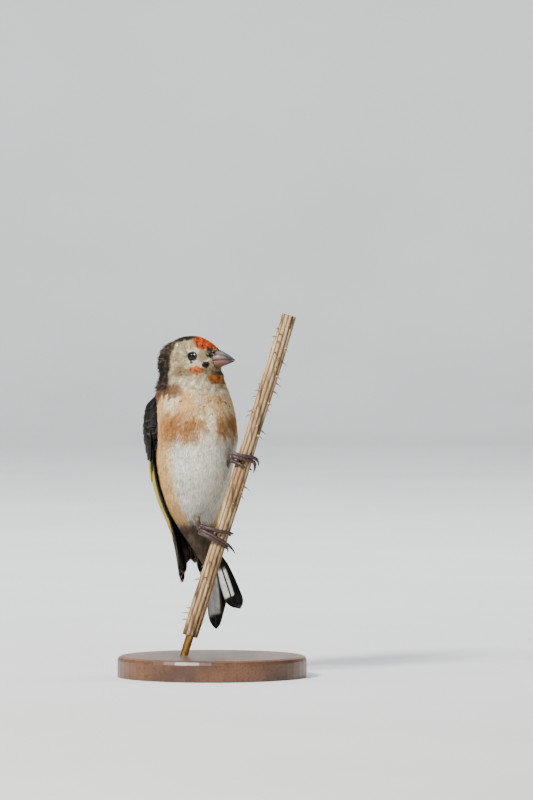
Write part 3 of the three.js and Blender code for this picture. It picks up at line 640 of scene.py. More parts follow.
def scattered(points, normals, faces, spacing_at, chance):
    """Places and normals spread evenly over a triangulated surface."""
    a, b, c = (points[faces[:, k]] for k in range(3))
    area = np.linalg.norm(np.cross(b - a, c - a), axis=1) / 2
    weight = area / (spacing_at((a + b + c) / 3) * MM) ** 2
    count = int(weight.sum() * OVERSAMPLING)
    face = chance.choice(len(faces), count, p=weight / weight.sum())
    u = np.sqrt(chance.random(count))
    v = chance.random(count)
    shares = np.stack([1 - u, u * (1 - v), u * v], -1)
    place = np.einsum("nk,nkd->nd", shares, points[faces[face]])
    normal = unit(np.einsum("nk,nkd->nd", shares, normals[faces[face]]))
    kept = spread_out(place, spacing_at(place) * MM * SPACING_KEPT)
    return place[kept], normal[kept]


def unwrap(points):
    """Each place on the skin's own unwrapped shape: the turn round it and the way down it."""
    bird = to_bird(points)
    turn = np.arctan2(-(bird[:, 0] + 0.5), bird[:, 1] + 0.5)
    shares = np.stack([turn / (2 * math.pi) + 0.5, (bird[:, 2] - 36) / 92], -1)
    return 0.03 + 0.94 * shares


def fans(places, normals, ways, length, width, depth, blades, chance, colour_at, lift=0.05, over=None):
    """Fans of barb locks: their points, faces, colours, places on the unwrap and the way each faces.
    Each lock is a thin closed blade. It follows the surface that over tells, or bends by itself."""
    count = len(places)
    across = np.cross(normals, ways)
    a = np.linspace(-1, 1, blades)[None, :] + chance.normal(0, 0.10, (count, blades))
    size = (1 + chance.normal(0, 0.10, (count, 1))) * (1 + chance.normal(0, 0.08, (count, blades)))
    L = (length[:, None] * size * MM)[..., None]
    W = (width[:, None] * MM * np.ones((count, blades)))[..., None]
    D = (depth[:, None] * MM * np.ones((count, blades)))[..., None]
    n = np.repeat(normals[:, None, :], blades, 1)
    s = across[:, None, :]
    t = ways[:, None, :]
    p = places[:, None, :]
    A = a[..., None]
    rise = chance.random((count, 1, 1)) * 0.6 + chance.random((count, blades, 1)) * 0.4
    raised = np.broadcast_to(lift, (count,))[:, None, None]
    broad = W / blades * 1.25
    thick = np.minimum(broad * 0.30, D * 0.16)
    # Share of the length, spread to the side, depth under the coat's face, share of the full breadth
    stations = (
        (0.0, 0.12, 1.0, 0.8),
        (0.34, 0.32, 0.58, 1.0),
        (0.70, 0.44, 0.22, 0.85),
        (1.0, 0.47, 0.02, 0.0),
    )
    rows = []
    facing = []
    for share, spread, under, full in stations:
        reach = L * share * (1.0 - 0.20 * A * A * share)
        place = p + t * reach + s * A * W * spread
        out = n
        if over is not None and share > 0:
            place, out = over(place, n)
        elif share > 0:
            place = place - n * (reach * reach / (28 * MM) + A * A * W * 0.10)
        height = -D * under + D * raised * rise * 2.2 * share**2 - D * 0.12 * A * A
        centre = place + out * height
        soft = out + t * 0.12 + s * (A * 0.22 + 0.24 * (chance.random((count, 1, 1)) - 0.5))
        if full == 0.0:
            rows.append(centre)
            facing.append(soft)
            continue
        facing.extend([soft - s * 0.32, soft, soft + s * 0.32])
        rows.append(centre - s * broad * full * 0.5 - out * thick * 0.4)
        rows.append(centre + out * thick)
        rows.append(centre + s * broad * full * 0.5 - out * thick * 0.4)
    points = np.stack(rows, 2).reshape(-1, 3)
    facing = unit(np.stack(np.broadcast_arrays(*facing), 2)).reshape(-1, 3)
    total = count * blades
    shell = [(0, 1, 2), (6, 9, 7), (7, 9, 8), (8, 9, 6)]
    for low in (0, 3):
        for k, m in ((0, 1), (1, 2), (2, 0)):
            shell.append((low + k, low + m + 3, low + m))
            shell.append((low + k, low + k + 3, low + m + 3))
    faces = (np.array(shell)[None] + 10 * np.arange(total)[:, None, None]).reshape(-1, 3)
    luck = chance.random(count)
    seen = places + ways * (length[:, None] * MM * 0.7)
    colour = colour_at(seen, luck)
    colour = colour * (1 + chance.normal(0, 0.05, (count, 1)))
    colour = colour[:, None, :] * (1 + chance.normal(0, 0.06, (count, blades, 1)))
    tones = (0.7,) * 3 + (0.90,) * 3 + (1.0,) * 3 + (1.02,)
    shades = np.stack([colour * tone for tone in tones], 2).reshape(-1, 3)
    spot_uv = unwrap(places)[:, None, None, :] + np.zeros((count, blades, 10, 2))
    offset = [(x, y) for y in (-1, -0.3, 0.4) for x in (-1, 0, 1)] + [(0, 1)]
    spot_uv = (spot_uv + np.array(offset)[None, None] * PATCH_REACH).reshape(-1, 2)
    return points, faces, shades, spot_uv, facing


def feathered(name, points, faces, shades, places_uv, facing):
    """A joined mesh of many blades as a piece of the plumage."""
    mesh = bpy.data.meshes.new(name)
    mesh.vertices.add(len(points))
    mesh.vertices.foreach_set("co", points.astype(np.float32).ravel())
    mesh.loops.add(len(faces) * 3)
    mesh.loops.foreach_set("vertex_index", faces.astype(np.int32).ravel())
    mesh.polygons.add(len(faces))
    mesh.polygons.foreach_set("loop_start", np.arange(0, len(faces) * 3, 3, dtype=np.int32))
    mesh.polygons.foreach_set("use_smooth", np.ones(len(faces), bool))
    mesh.update(calc_edges=True)
    paint(mesh, shades)
    layer = mesh.uv_layers.new(name="OFBake")
    layer.data.foreach_set("uv", places_uv[faces.ravel()].astype(np.float32).ravel())
    mesh.normals_split_custom_set_from_vertices(facing.tolist())
    made = bpy.data.objects.new(name, mesh)
    bpy.context.scene.collection.objects.link(made)
    dressed(made, coat_finish, "plumage")


coat_finish, tree, shader = material("plumage", 0.85, Specular_IOR_Level=0.15)
tinted(tree, shader, ranged(tree, noise(tree, 900, 3, (1, 1, 0.25)), 0.3, 0.7, 0.90, 1.08))

form_tree = kdtree.KDTree(len(form_points))
for i, place in enumerate(form_points):
    form_tree.insert(place, i)
form_tree.balance()


def over_form(places, normals):
    """Each place moved on to the form's surface, with the surface's own way out there."""
    flat = places.reshape(-1, 3)
    near = np.array([form_tree.find(place)[1] for place in flat])
    out = form_normals[near]
    off = np.sum((flat - form_points[near]) * out, axis=1, keepdims=True)
    return (flat - out * off).reshape(places.shape), out.reshape(places.shape)


chance = np.random.default_rng(COAT_SEED)
places, normals = scattered(
    form_points, form_normals, form_faces, lambda p: feather_size(p)[1] * COAT_SPACING, chance
)
ways = lie(places, normals)
length, width = feather_size(places)
bird = to_bird(places)
head = to_head(places)
tips = to_head(places + ways * length[:, None] * MM)
clear = np.ones(len(places), bool)
for spots, room in ((head, EYE_ROOM_ROOTS), (tips, EYE_ROOM_TIPS)):
    off_eye = np.hypot(spots[:, 1] - EYE_PLACE[1], spots[:, 2] - EYE_PLACE[2])
    clear &= (off_eye > room) | (np.abs(spots[:, 0]) < 4)
in_bill = (head[:, 0] / BILL_REACH[0]) ** 2 + ((head[:, 2] - BILL_MIDDLE) / BILL_REACH[1]) ** 2 < 0.9
clear &= ~(in_bill & (head[:, 1] < -10.6))
back_turn = np.degrees(np.arctan2(np.abs(bird[:, 0] - curve(BODY_ROWS, 4, bird[:, 2])), bird[:, 1]))
under_wing = (back_turn > 34) & (back_turn < 62) & (bird[:, 2] > 58) & (bird[:, 2] < 96)
clear &= ~under_wing
places, normals, ways, length, width, bird = (
    values[clear] for values in (places, normals, ways, length, width, bird)
)
headness = ramp(bird[:, 2], FACE_FROM, FACE_TO)
to_nape = ramp(to_head(places)[:, 1], 4.5, 8.0) * headness
lifts = 0.12 + 0.35 * headness + 2.0 * to_nape
length = length + 1.3 * to_nape
depth = toward(COAT_DEPTH, FACE_DEPTH, headness)
is_head = headness > 0.5
front = np.cos(np.arctan2(bird[:, 0], -bird[:, 1])) > 0
regions = (
    ("coat_head", is_head, BLADES_HEAD),
    ("coat_breast", ~is_head & front & (bird[:, 2] >= 82), BLADES_BODY),
    ("coat_belly", ~is_head & front & (bird[:, 2] < 82), BLADES_BODY),
    ("coat_back", ~is_head & ~front, BLADES_BODY),
)
for name, chosen, blades in regions:
    order = np.flatnonzero(chosen)
    per_piece = PIECE_TRIANGLES // (BLADE_TRIANGLES * blades)
    pieces = max(1, math.ceil(len(order) / per_piece))
    order = order[np.argsort(bird[order, 2])]
    for k, part in enumerate(np.array_split(order, pieces)):
        made = fans(
            places[part], normals[part], ways[part], length[part], width[part], depth[part], blades, chance,
            markings, lifts[part], over_form,
        )
        feathered(f"{name}_{k + 1}", *made)

# The eyes
# A goldfinch's eye is nearly black and wet. Each is a round ball set in the face, with a thin bare ring
# of dark grey lid round it.

EYE_RADIUS = 1.95
LID_RADIUS = 1.68
LID_THICKNESS = 0.15
LID_OUT = 1.12  # how far the lid stands out from the middle of the eye
EYE_COLOURS = ((0.01, 0.007, 0.006), (0.03, 0.018, 0.012))
LID_COLOURS = ((0.05, 0.042, 0.04), (0.17, 0.15, 0.13))


def mottled(tree, shader, scale, detail, colours, low=0.3, high=0.7):
    """Two colours in soft patches as the shader's colour."""
    patches = ranged(tree, noise(tree, scale, detail), low, high)
    tree.links.new(blended(tree, "MIX", patches, *colours), shader.inputs["Base Color"])


eye_finish, tree, shader = material("wet_eye", 0.04, IOR=1.36)
mottled(tree, shader, 600, 3, EYE_COLOURS)
lid_finish, tree, shader = material("bare_lid", 0.6)
mottled(tree, shader, 2500, 4, LID_COLOURS, 0.35, 0.65)
bumped(tree, shader, noise(tree, 2500, 4), 0.5, 0.0001)
for side, side_name in ((-1, "right"), (1, "left")):
    across, back, up = EYE_PLACE
    ball = bmesh.new()
    bmesh.ops.create_uvsphere(ball, u_segments=40, v_segments=28, radius=EYE_RADIUS)
    for vert in ball.verts:
        vert.co = Vector(from_head((vert.co.x + side * across, vert.co.y + back, vert.co.z + up)))
    dressed(object_from(ball, "eyeball_" + side_name), eye_finish, "eye", "eye_" + side_name)
    ring = bmesh.new()
    made = bmesh.ops.create_circle(ring, cap_ends=False, segments=12, radius=LID_THICKNESS)
    for vert in made["verts"]:
        squeeze = 1.0 + 0.25 * vert.co.y / LID_THICKNESS
        vert.co = Vector((LID_RADIUS + vert.co.x * squeeze, 0, vert.co.y * 1.3))
    bmesh.ops.spin(
        ring, geom=ring.verts[:] + ring.edges[:], cent=(0, 0, 0), axis=(0, 0, 1), dvec=(0, 0, 0),
        angle=2 * math.pi, steps=48, use_merge=True, use_normal_flip=False, use_duplicate=False,
    )
    bmesh.ops.remove_doubles(ring, verts=ring.verts, dist=1e-4)
    for vert in ring.verts:
        x, y, z = vert.co
        oval = 1.0 + 0.04 * (y / LID_RADIUS) ** 2
        out = side * (across + LID_OUT + z + 0.32 * x / LID_RADIUS)
        vert.co = Vector(from_head((out, back - 0.3 + x * oval, up + y * 0.97)))
    dressed(object_from(ring, "lid_" + side_name), lid_finish, "leg_skin")

# The bill
# The bill is a stout pointed cone of horn in two halves that meet along the mouth, the upper a little
# longer and hooked over the lower, with a nostril near its base on each side.

FACE_FRONT = 11.3
BILL_ROOT = 10.2  # where the horn starts, under the feathers
BILL_END = 19.85
BILL_SHORTER = 0.45  # the lower half than the upper
BILL_HALF_WIDTH = 3.45
BILL_TOP = 4.75
BILL_BOTTOM = -1.8
MOUTH = 0.9
TIP_HEIGHT = 0.75
HORN = (0.30, 0.195, 0.165)
HORN_PALE = (0.44, 0.29, 0.23)
HORN_DARK = (0.075, 0.06, 0.06)
NOSTRIL_SHADE = (0.10, 0.07, 0.07)
NOSTRIL_PLACE = (2.35, -12.35, 3.0)
NOSTRIL_REACH = (0.9, 0.55, 0.42)
BILL_RINGS = 26
BILL_SIDES = 40


def bill_profile(share):
    """How much of its full width and depth the bill has, and its middle, on the way to the tip."""
    wide = (1 - share**1.45) ** 0.96
    deep = (1 - share**1.6) ** 0.98
    return wide, deep, MOUTH + (TIP_HEIGHT - MOUTH) * share**2


def bill_half(upper):
    """The rings of one half of the bill, each a curved outer side and a flat cutting side."""
    rings = []
    shades = []
    end = BILL_END if upper else BILL_END - BILL_SHORTER
    for step in 1 - (1 - np.linspace(0, 1, BILL_RINGS)) ** 1.35:
        forward = toward(BILL_ROOT, end, step)
        share = np.clip((forward - FACE_FRONT) / (BILL_END - FACE_FRONT), 0, 0.998)
        wide, deep, middle = bill_profile(share)
        if not upper:
            wide *= 0.93
        ring = []
        half = BILL_HALF_WIDTH * wide
        reach = (BILL_TOP - MOUTH) * deep if upper else (MOUTH - BILL_BOTTOM) * deep
        sign = 1 if upper else -1
        dip = -0.35 * (1 - share) ** 3
        for k in range(BILL_SIDES):
            angle = 2 * math.pi * k / BILL_SIDES
            side = math.sin(angle)
            rise = math.cos(angle)
            outer = rise > 0
            keel = abs(rise) ** (0.92 if upper else 1.0)
            height = keel * reach if outer else -0.10 * wide * abs(rise)
            shape = half * np.sign(side) * abs(side) ** (1.0 if outer else 0.8)
            ring.append((shape, -forward, middle + dip + sign * (height + 0.06)))
            if upper:
                on_top = max(0.0, rise) ** 3
                dark = ramp(share, 0.34, 0.78) * 0.95 + on_top * (0.30 + 0.6 * share) * (share > 0)
                base = np.array(HORN)
            else:
                dark = ramp(share, 0.62, 0.95) * 0.85 + ramp(share, 0.3, 1.0) * 0.15
                dark += 0.5 * max(0.0, -rise) ** 0.5 * ramp(share, 0.1, 0.6)
                base = np.array(HORN_PALE) * (1 - 0.12 * share)
            shades.append(toward(base, np.array(HORN_DARK), np.clip(dark, 0, 1)))
        rings.append(from_head(ring))
    return rings, np.array(shades)


horn_finish, tree, shader = material("horn", 0.5)
grain = ranged(tree, noise(tree, 900, 5, (1, 0.3, 1)), 0.3, 0.7)
grained = blended(tree, "MIX", grain, (0.86, 0.84, 0.84), (1.0, 1.0, 1.0))
tree.links.new(blended(tree, "MULTIPLY", 1.0, marked(tree), grained), shader.inputs["Base Color"])
tree.links.new(ranged(tree, noise(tree, 1500, 3), 0.3, 0.7, 0.38, 0.55), shader.inputs["Roughness"])
bumped(tree, shader, noise(tree, 1400, 5, (1, 0.35, 1)), 0.25, 0.00012)
for upper, half_name in ((True, "upper"), (False, "lower")):
    rings, shades = bill_half(upper)
    horn = bmesh.new()
    loft(horn, rings)
    bill = object_from(horn, "bill_half_" + half_name)
    if upper:
        # Each nostril is a small round pit pressed into the side near the feathers, painted dark as the
        # shade inside its opening.
        local = to_head(np.array([vert.co[:] for vert in bill.data.vertices]))
        for side in (-1, 1):
            nostril = np.array(NOSTRIL_PLACE) * (side, 1, 1)
            pit = np.linalg.norm((local - nostril) / NOSTRIL_REACH, axis=1)
            shades = toward(shades, np.array(NOSTRIL_SHADE), (1 - ramp(pit, 0.5, 1.1))[:, None])
            local[:, 0] -= side * 0.35 * (1 - ramp(pit, 0.2, 1.0))
        bill.data.vertices.foreach_set("co", from_head(local).astype(np.float32).ravel())
    paint(bill.data, shades)
    dressed(bill, horn_finish, "horn", "bill_" + half_name)

# The bristles at the bill
# Short stiff hairlike feathers grow forward over the nostrils and the corner of the mouth. Each is a
# pair of narrow barbs rooted in the skin beside the horn.

BRISTLES = 70  # on each side

bristle_roots = []
bristle_tips = []
for side in (-1, 1):
    for _ in range(BRISTLES):
        s = side * chance.uniform(0.6, 3.5)
        u = chance.uniform(2.2, 5.0) if chance.random() < 0.75 else chance.uniform(-0.6, 0.8)
        f = 11.0 + chance.uniform(-0.4, 0.4) - 0.25 * (u < 2)
        reach = chance.uniform(0.9, 1.7)
        bristle_roots.append((s, -f, min(u, 5.0 - 0.1 * s * s)))
        bristle_tips.append((s * 1.08, -f - reach, u - reach * 0.32))
bristle_roots = from_head(bristle_roots)
bristle_tips = from_head(bristle_tips)
run = unit(bristle_tips - bristle_roots)
away = squared(unit(bristle_roots - from_head((0.0, -9.0, 1.0))), run)
count = len(bristle_roots)


def bristle_colour(points, luck):
    return np.where(luck[:, None] < 0.6, np.array(SOOT), np.array(EAR_BROWN))


made = fans(
    bristle_roots, away, run, np.linalg.norm(bristle_tips - bristle_roots, axis=1) / MM,
    np.full(count, 0.3), np.full(count, 0.12), 2, chance, bristle_colour,
)
feathered("bristles", *made)

# The wings
# Each folded wing is an arm with thin cambered vanes hung from it in tiers: the long primaries lowest,
# the secondaries and tertials over them, and rows of small black coverts like tiles on top.

# Height, half width, middle and depth towards the back, sideways shift of what the wings lie on.
WING_BED = (
    (103, 14.0, -0.5, 13.4, -0.9),
    (96.5, 15.0, -0.8, 16.0, -0.3),
    (90.5, 15.3, -1.0, 17.2, -0.1),
    (84.3, 15.2, -1.0, 17.6, -0.3),
    (79.0, 14.6, -0.7, 17.3, -0.7),
    (73.0, 13.8, -0.1, 16.2, -0.9),
    (66.8, 12.4, 1.0, 14.2, -0.7),
    (61.5, 10.8, 2.4, 12.0, -0.2),
    (56.0, 8.9, 4.2, 10.0, 0.9),
    (50.0, 7.4, 6.6, 7.2, 2.2),
    (44.0, 6.6, 8.9, 4.6, 3.3),
    (38.0, 5.9, 10.6, 3.2, 3.9),
    (30.0, 5.4, 11.6, 2.6, 4.4),
)
# Height, turn of the arm's front and back edge from the spine, and thickness.
WING_ARM = (
    (104.5, 66, 46, 1.2),
    (101, 76, 38, 2.8),
    (97, 80, 34, 3.3),
    (91, 82, 27, 3.7),
    (84.3, 81, 22, 3.0),
    (79, 78, 19, 1.8),
    (73, 75, 17, 0.9),
    (68, 71, 17, 0.5),
)
# For each tier, from its outermost feather to its innermost: turn and height of the first and last
# root, then tip, width, and how far out the first and last lie at the root and at the tip.
WING_TIERS = (
    ("primary", 3, (82, 78, 74, 75), (63, 34.6, 41, 31.6), 5.2, (1.2, 1.6, 0.9, 1.1)),
    ("primary", 6, (67, 74, 50, 72), (34, 34.5, 9, 47), 5.2, (0.85, 1.1, 0.9, 1.6)),
    ("secondary", 6, (58, 78, 36, 80), (32, 51, 15, 60), 5.6, (1.1, 1.5, 1.5, 2.3)),
    ("tertial", 3, (36, 84, 26, 86), (22, 58, 17, 68), 7.0, (1.6, 2.3, 2.5, 2.9)),
    ("primary_covert", 5, (79, 86, 68, 86), (75, 74, 65, 72), 3.8, (1.6, 1.8, 1.5, 1.9)),
    ("alula", 2, (80, 91, 76, 91), (78, 79, 73, 79), 3.2, (2.4, 2.6, 2.2, 2.6)),
    ("greater_covert", 9, (68, 87, 29, 88), (62, 70, 25, 75), 5.0, (2.2, 2.0, 2.0, 3.1)),
    ("median_covert", 8, (75, 93, 34, 93), (71, 80, 30, 82), 5.0, (1.0, 2.0, 2.7, 3.7)),
    ("lesser_covert", 9, (80, 89, 24, 89), (79, 82.6, 22, 82.6), 4.6, (-0.5, -0.5, 0.55, 0.55)),
    ("lesser_covert", 9, (80, 92, 27, 92), (80, 85.4, 25, 85.4), 4.4, (-0.4, -0.4, 0.60, 0.60)),
    ("lesser_covert", 8, (79, 95, 30, 95), (80, 88.4, 27, 88.4), 4.4, (-0.4, -0.4, 0.60, 0.60)),
    ("lesser_covert", 8, (77, 98, 34, 98), (79, 91.4, 30, 91.4), 4.2, (-0.4, -0.4, 0.60, 0.60)),
    ("lesser_covert", 7, (74, 101, 39, 101), (77, 94.4, 34, 94.4), 4.0, (-0.4, -0.4, 0.60, 0.60)),
    ("lesser_covert", 6, (68, 103.6, 46, 103.6), (73, 97.4, 40, 97.4), 3.8, (-0.3, -0.3, 0.60, 0.60)),
)
SPINE_CLEAR = -16.0  # how far past the spine a feather may reach
BLACK = (0.018, 0.016, 0.016)
BLACK_WORN = (0.05, 0.042, 0.038)
YELLOW = (0.75, 0.67, 0.05)
TIP_BUFF = (0.80, 0.72, 0.60)
EDGE_PALE = (0.55, 0.50, 0.44)
COVERT_BROWN = (0.33, 0.245, 0.19)
SHAFT_COLOUR = (0.30, 0.27, 0.25)
VANE_GRID = (26, 10)  # rows along a long feather and columns across it
COVERT_GRID = (12, 8)
VANE_THICKNESS = 0.28
ARM_TOP = 104.0
ARM_BOTTOM = 74.0
ARM_WALL = 0.4
FRONT_PRIMARIES = 70  # the turn past which a primary's root is of the bowed front edge
BOW = 9


def wing_point(side, turn, height, out):
    """A place of the wing by its turn from the spine, its height, and how far it stands out."""
    width = curve(WING_BED, 1, height) + out
    depth_out = curve(WING_BED, 3, height) + out
    turn = np.radians(turn)
    x = curve(WING_BED, 4, height) + side * width * np.sin(turn)
    y = curve(WING_BED, 2, height) + depth_out * np.cos(turn)
    return np.stack([x, y, height + np.zeros_like(x)], -1)


def arm_out(height, turn):
    """How far the feathered arm stands out at a place of the wing."""
    front_edge = curve(WING_ARM, 1, height)
    back_edge = curve(WING_ARM, 2, height)
    across = np.clip((turn - front_edge) / (back_edge - front_edge), 0, 1)
    rim = np.sin(math.pi * across) ** 0.42
    top = np.clip((104.0 - height) / 4.0 + 0.1, 0, 1) ** 0.6
    return 0.25 + np.maximum(0.0, curve(WING_ARM, 3, height) + 0.35) * rim * top


def vane_width(share, blunt):
    """The share of its full width that a feather has, from a narrow root to a round tip."""
    root = np.minimum(1, 0.30 + share * 2.2)
    start = 1 - blunt
    tip = np.sqrt(np.clip(1 - (np.maximum(share - start, 0) / blunt) ** 2, 0, 1))
    return np.maximum(0.10, root * tip)


def vane(bm, layers, place_at, colour_at, length, grid):
    """Lays a grid out as a feather: place_at takes the share along and across, from -1 to 1."""
    made = bmesh.ops.create_grid(bm, x_segments=grid[1], y_segments=grid[0], size=1.0)
    verts = made["verts"]
    local = np.array([vert.co[:] for vert in verts])
    across = local[:, 0] * (0.45 + 0.55 * np.abs(local[:, 0]))
    along = 1 - (1 - (local[:, 1] + 1) / 2) ** 1.25
    places = place_at(along, across)
    shades = linear(np.clip(colour_at(along, across), 0, 1))
    for vert, place, shade_at, t, a in zip(verts, places, shades, along, across):
        vert.co = Vector(place)
        vert[layers[0]] = (*shade_at, 1.0)
        vert[layers[1]] = Vector((a, t * length, 0.0))


def feather_layers(bm):
    """What each point of a feather keeps: its colour, and where on the vane it is."""
    return bm.verts.layers.float_color.new("markings"), bm.verts.layers.float_vector.new("vane")


def quill_colour(kind, order, luck, inner_tier):
    """The colours of one wing feather along and across it. Across is -1 at its outer, front edge."""

    def colour_at(along, across):
        shade_at = np.tile(np.array(BLACK), (len(along), 1))
        lay = brush(shade_at)
        ragged = 0.03 * np.sin(along * 60 + luck * 9) + 0.02 * np.sin(along * 131 + luck * 5)
        rim = ramp(np.abs(across) + ragged, 0.86, 1.0)
        if kind == "primary":
            outer = ramp(-across + ragged, -0.02, 0.10)
            reach = (1 - ramp(along + 2 * ragged, 0.56, 0.62)) * ramp(along, 0.0, 0.08)
            if order == 0 and not inner_tier:
                reach = reach * ramp(across, -0.35, -0.25)
            lay(YELLOW, 0.95 * outer * reach * (1 - ramp(along, 0.50, 0.54) * (order == 0)))
            lay(EDGE_PALE, 0.7 * rim * ramp(along, 0.6, 0.8))
            lay(TIP_BUFF, 0.75 * ramp(along, 0.965, 0.985))
        elif kind == "secondary":
            lay(YELLOW, 0.95 * (1 - ramp(along + ragged * 2 + 0.12 * np.maximum(across, 0), 0.42, 0.48)))
            lay(EDGE_PALE, 0.5 * rim * ramp(along, 0.6, 0.8))
            lay(TIP_BUFF, 0.9 * ramp(along - 0.05 * (1 - np.abs(across)), 0.90, 0.94))
        elif kind == "tertial":
            lay(EDGE_PALE, 0.6 * rim)
            lay(TIP_BUFF, 0.95 * ramp(along - 0.07 * (1 - np.abs(across)), 0.78, 0.84))
        elif kind == "greater_covert":
            lay(YELLOW, 0.97 * ramp(along + ragged, 0.30, 0.42) * (order < 7))
            lay(TIP_BUFF, 0.6 * ramp(along, 0.88, 0.95) * (order >= 7))
        elif kind in ("median_covert", "lesser_covert"):
            end_rim = ramp(along + ragged, 0.80, 0.92)
            wide_rim = np.maximum(ramp(np.abs(across) + ragged, 0.62, 0.9), end_rim)
            lay(COVERT_BROWN, (0.1 + 0.8 * luck) * wide_rim * ramp(along, 0.4, 0.7))
        else:
            lay(BLACK_WORN, 0.7 * rim)
        lay(BLACK_WORN, 0.16 * (0.5 + 0.5 * np.sin(along * 17 + luck * 20)))
        return shade_at

    return colour_at


def arithmetic(tree, kind, first, second=0.0):
    """A sum of two values. Each is a socket or a number."""
    node = tree.nodes.new("ShaderNodeMath")
    node.operation = kind
    for place, source in ((0, first), (1, second)):
        if isinstance(source, bpy.types.NodeSocket):
            tree.links.new(source, node.inputs[place])
        else:
            node.inputs[place].default_value = source
    return node.outputs[0]


quill_finish, tree, shader = material("quill_vane", 0.5, Specular_IOR_Level=0.13)
split = tree.nodes.new("ShaderNodeSeparateXYZ")
tree.links.new(marked(tree, "vane", "Vector"), split.inputs[0])
# Fine ridges slant out from the shaft.
off_shaft = arithmetic(tree, "ABSOLUTE", split.outputs["X"])
slant = arithmetic(tree, "MULTIPLY", off_shaft, 2.2)
slanted = arithmetic(tree, "SUBTRACT", split.outputs["Y"], slant)
wave = arithmetic(tree, "SINE", arithmetic(tree, "MULTIPLY", slanted, 26.0))
ridge = arithmetic(tree, "MULTIPLY_ADD", wave, 0.5)
shaft = ranged(tree, off_shaft, 0.05, 0.10, 1.0, 0.0)
worn = ranged(tree, noise(tree, 700, 4), 0.35, 0.65, 0.80, 1.12)
ridge_shade = arithmetic(tree, "MULTIPLY", ranged(tree, ridge, -0.5, 0.5, 0.86, 1.08), worn)
vane_colour = tinted(tree, shader, ridge_shade)
shaft_share = arithmetic(tree, "MULTIPLY", shaft, 0.18)
tree.links.new(blended(tree, "MIX", shaft_share, vane_colour, SHAFT_COLOUR), shader.inputs["Base Color"])
bumped(tree, shader, arithmetic(tree, "ADD", ridge, shaft), 0.35, 0.00010)


def thickened(piece, thickness, offset):
    """Gives a thin sheet its wall."""
    wall = piece.modifiers.new("wall", "SOLIDIFY")
    wall.thickness = thickness * MM
    wall.offset = offset


def between(four, share):
    """The turn and the height a share of the way from the first pair of four to the second."""
    return toward(four[0], four[2], share), toward(four[1], four[3], share)


def lay_wing_feather(bm, layers, side, kind, order, root, tip, wide, out_root, out_tip, luck):
    """Adds one feather of a wing, from the turn and height of its root to those of its tip."""

    def place_at(along, across):
        height = toward(root[1], tip[1], along)
        middle = toward(root[0], tip[0], along)
        if kind == "primary" and root[0] > FRONT_PRIMARIES:
            middle = middle + BOW * np.sin(math.pi * along)
        blunt, shift = (0.16, 0.12) if kind == "primary" else (0.24, 0.0)
        frayed = 1 + 0.035 * np.sin(along * 47 + luck * 11) * (np.abs(across) > 0.8)
        off_shaft = across + shift * (1 - np.abs(across))
        away = -off_shaft * wide / 2 * vane_width(along, blunt) * frayed
        height = height + 0.45 * (wide / 5) * np.abs(across) ** 2 * ramp(along, 0.75, 1.0)
        radius = curve(WING_BED, 1, height) + out_tip
        turn = np.maximum(SPINE_CLEAR, middle + np.degrees(away / radius))
        camber = 0.28 * (1 - across**2) * (wide / 5)
        shaft_rise = 0.10 * np.exp(-((across / 0.07) ** 2)) * (1 - 0.7 * along)
        out = toward(out_root, out_tip, along) + camber + shaft_rise
        if kind == "lesser_covert":
            out = out + arm_out(height, turn)
        return from_bird(wing_point(side, turn, height, out))

    shade_at = quill_colour(kind, order, luck, root[0] < 68)
    grid = COVERT_GRID if kind == "lesser_covert" else VANE_GRID
    vane(bm, layers, place_at, shade_at, root[1] - tip[1], grid)


for side, side_name in ((-1, "right"), (1, "left")):
    quills = bmesh.new()
    layers = feather_layers(quills)
    for kind, count, roots, tips_at, wide, outs in WING_TIERS:
        for k in range(count):
            share = k / max(1, count - 1)
            jitter = chance.normal(0, 0.35, 3)
            root = between(roots, share)
            tip = between(tips_at, share)
            looser = 2.6 if kind == "lesser_covert" else 0.85
            tip = (tip[0] + jitter[0] * looser, tip[1] + jitter[1] * looser)
            if kind == "primary" and share > 0.5 and root[0] < 68:
                tip = (tip[0] - 12 * share, tip[1] - 5 * share)
            out_root = toward(outs[0], outs[1], share)
            out_tip = toward(outs[2], outs[3], share) + 0.1 * abs(jitter[2])
            lay_wing_feather(
                quills, layers, side, kind, k, root, tip, wide, out_root, out_tip, chance.random()
            )
    wing = object_from(quills, "wing_quills_" + side_name)
    thickened(wing, VANE_THICKNESS, 0.0)
    dressed(wing, quill_finish, "flight_feathers", "wing_" + side_name)

    # The arm under the rows of small coverts
    arm = bmesh.new()
    grid = bmesh.ops.create_grid(arm, x_segments=26, y_segments=40, size=1.0)
    for vert in grid["verts"]:
        height = toward(ARM_TOP, ARM_BOTTOM, (vert.co.y + 1) / 2)
        turn = toward(curve(WING_ARM, 1, height), curve(WING_ARM, 2, height), (vert.co.x + 1) / 2)
        vert.co = Vector(from_bird(wing_point(side, turn, height, arm_out(height, turn))))
    bmesh.ops.recalc_face_normals(arm, faces=arm.faces)
    bmesh.ops.triangulate(arm, faces=arm.faces)
    arm.normal_update()
    arm.verts.ensure_lookup_table()
    arm_points = np.array([vert.co[:] for vert in arm.verts])
    outward = unit(arm_points - from_bird((0.0, 0.0, 85.0)))
    arm_normals = np.array([vert.normal[:] for vert in arm.verts])
    if np.sum(arm_normals * outward) < 0:
        bmesh.ops.reverse_faces(arm, faces=arm.faces)
    shoulder = object_from(arm, "wing_arm_" + side_name, turn_out=False)
    thickened(shoulder, ARM_WALL, -1.0)
    paint(shoulder.data, np.tile(np.array(BLACK), (len(arm_points), 1)))
    dressed(shoulder, skin_finish, "flight_feathers")

# The tail
# Twelve feathers hang behind the stem in two stacks of six, the outermost of each nearest the viewer.
# They are black, with pale ovals on the inner webs of the outer ones and small pale tips.

